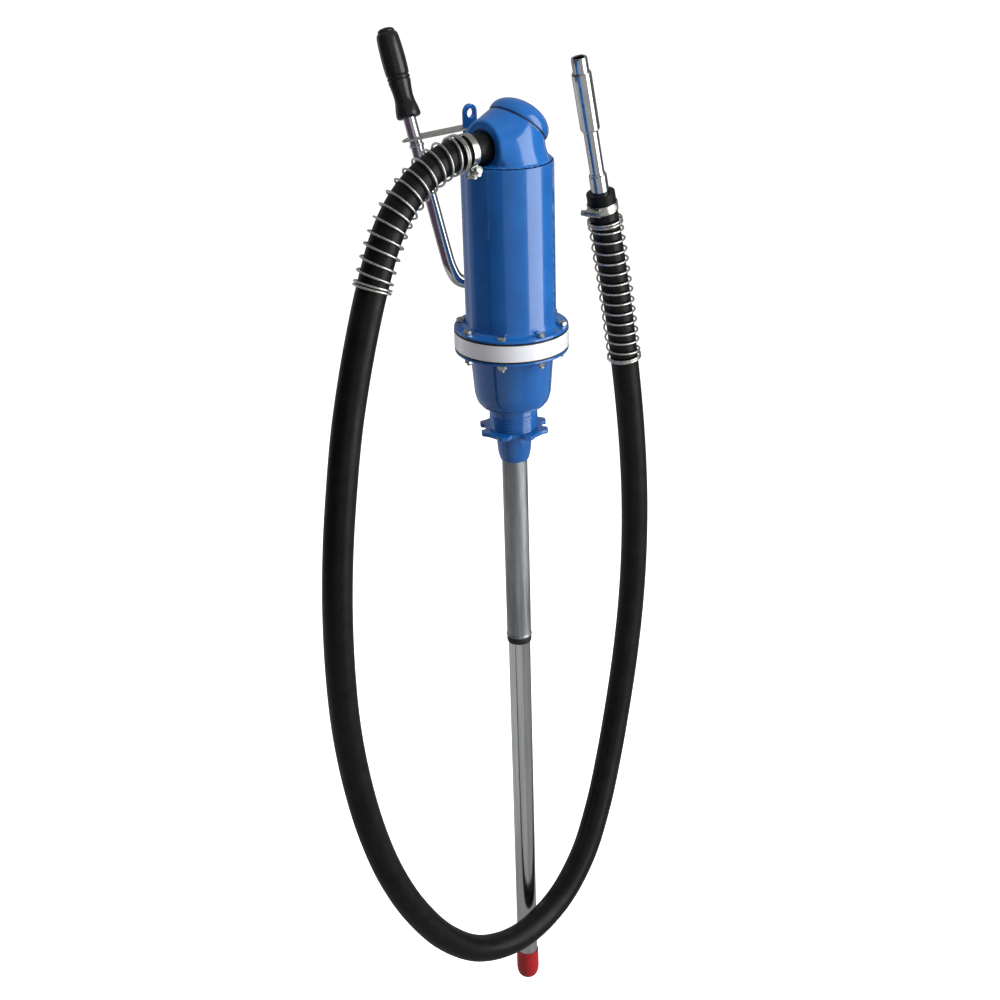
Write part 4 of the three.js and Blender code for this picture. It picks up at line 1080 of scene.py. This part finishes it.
def make_hasp():
    """A strap with an eye around the bar and an open fork that straddles the padlock lug."""
    to_lug = (lever_y(HASP_Z) - 65.5) / math.cos(math.radians(15))
    tip, slot_end, slot_half = to_lug + 11, to_lug - 4.5, 10.3
    outline = [
        (12.5, -6), (12.5, tip - 1), (11.5, tip), (slot_half, tip), (slot_half, slot_end),
        (-slot_half, slot_end), (-slot_half, tip), (-11.5, tip), (-12.5, tip - 1), (-12.5, -6),
    ] + arc((0, -6), 12.5, 180, 360, 28)[1:-1]
    eye = arc((0, 0), 9.1, 0, 180, 20) + arc((0, -4), 9.1, 180, 360, 20)
    stand = Matrix.Translation((0, lever_y(HASP_Z), HASP_Z)) @ Matrix.Rotation(math.radians(-15), 4, "X")
    stand = stand @ Matrix.Rotation(math.radians(-12), 4, "Y") @ Matrix.Rotation(math.pi, 4, "Z")
    return flat_plate("hasp_strap", [outline, eye], 2.5, 0.45, stand)


piece(make_hasp(), "zinc", "hasp", ["hasp"])


# ---- Shaft, gland nut, adapter and the hidden works ----

shaft_place = placed((0, SHAFT_Y, SHAFT_Z), (1, 0, 0))
piece(lathe("pivot_shaft", [
    (0, -9.7), (5.4, -9.7, 0.2), (6, -9.1, 0.3), (6, 62.2, 0.3), (5.2, 63, 0.2), (0, 63),
], shaft_place, 64), "chrome", "lever", ["cross_shaft"])
gland = joined("packing_nut", [
    hexagon("hexagon", 21.8, 36.3, 44, shaft_place, bore=6.4),
    lathe("spigot", [(6.4, 33), (8.7, 33, 0.3), (8.7, 36.6), (6.4, 36.6)], shaft_place, 64),
])
piece(gland, "zinc", stands_for=["gland_nut"])
keep(
    "outlet_adapter", "valve_plate", "foot_valve", "piston", "piston_ring", "piston_valve",
    "piston_rod", "crosshead", "drive_arm", "shaft_bush", "shaft_seal",
)


# ---- Floor, surroundings and lights ----

view_turn = math.atan2(to_camera.y, to_camera.x)


def stage_mesh(name, points, faces, colour, glow=0.0):
    """A surface of the studio, which may give off light of its own."""
    mesh = bpy.data.meshes.new(name)
    mesh.from_pydata(points, [], faces)
    obj = bpy.data.objects.new(name, mesh)
    bpy.context.collection.objects.link(obj)
    mat = finish_of(name, colour, 0.9)
    if glow:
        shader_of(mat).inputs["Emission Color"].default_value = (1, 1, 1, 1)
        shader_of(mat).inputs["Emission Strength"].default_value = glow
    obj.data.materials.append(mat)
    return obj


def screen(name, start, end, low, high, radius, colour, glow=0.0):
    """A curved screen that only reflections show. Angles run anticlockwise from the camera."""
    points, faces = [], []
    count = 24
    for k in range(count + 1):
        a = view_turn + math.radians(start + (end - start) * k / count)
        for z in (low, high):
            points.append((radius * math.cos(a), radius * math.sin(a), z))
    for k in range(count):
        faces.append((2 * k, 2 * k + 2, 2 * k + 3, 2 * k + 1))
    obj = stage_mesh(name, points, faces, colour, glow)
    obj.visible_camera = False


# The lower tube slides 30 mm down and its cap pulls off by 45 mm, so the floor leaves room for both.
FLOOR_Z = CAD_BOX[0][2] - 80 * MM
FLOOR_R = 40
turns = [math.pi * k / 24 for k in range(48)]
floor_edge = [(FLOOR_R * math.cos(a), FLOOR_R * math.sin(a), FLOOR_Z) for a in turns]
ground = stage_mesh("floor", floor_edge, [list(range(48))], (0.94, 0.94, 0.94), glow=0.85)
ground.visible_glossy = False
ground.visible_diffuse = False
screen("dark_screen", -100, -12, -1.2, 2.6, 3.2, (0.13, 0.08, 0.14))
screen("grey_screen", -12, 45, -1.2, 2.6, 3.2, (0.3, 0.3, 0.31), glow=0.2)
screen("bright_screen", 47, 90, -1.12, 2.2, 2.6, (0.8, 0.9, 0.9), glow=3.0)
screen("low_screen", -150, 30, -3.2, -1.3, 3.4, (0.5, 0.5, 0.5), glow=0.25)
screen("back_screen", 96, 168, -1.2, 1.4, 3.2, (0.2, 0.2, 0.2))

world = bpy.data.worlds.new("studio")
scene.world = world
world.use_nodes = True
sky = world.node_tree.nodes["Background"]
sky.inputs["Color"].default_value = (1, 1, 1, 1)
ray = world.node_tree.nodes.new("ShaderNodeLightPath")
level = world.node_tree.nodes.new("ShaderNodeMapRange")
level.inputs["To Min"].default_value = 0.27
level.inputs["To Max"].default_value = 1.05
world.node_tree.links.new(ray.outputs["Is Camera Ray"], level.inputs["Value"])
world.node_tree.links.new(level.outputs["Result"], sky.inputs["Strength"])


def softbox(name, azimuth, height, distance, size, power, shines=True):
    """A rectangular light aimed at the pump. Its angle runs anticlockwise from the camera."""
    data = bpy.data.lights.new(name, "AREA")
    data.shape = "RECTANGLE"
    data.size, data.size_y = size
    data.energy = power
    light = bpy.data.objects.new(name, data)
    a = view_turn + math.radians(azimuth)
    light.location = (distance * math.cos(a), distance * math.sin(a), height)
    light.rotation_mode = "QUATERNION"
    light.rotation_quaternion = (-light.location).to_track_quat("-Z", "Y")
    light.visible_glossy = shines
    bpy.context.collection.objects.link(light)


softbox("top", 40, 2.4, 0.9, (1.2, 1.2), 32, shines=False)
softbox("left", -122, 0.3, 2.4, (0.7, 2.4), 1.5)
softbox("left_fill", -118, 0.6, 2.4, (1.2, 1.6), 30, shines=False)
softbox("key", 70, 0.5, 2.4, (1.2, 1.6), 22, shines=False)

scene.view_settings.view_transform = "Standard"
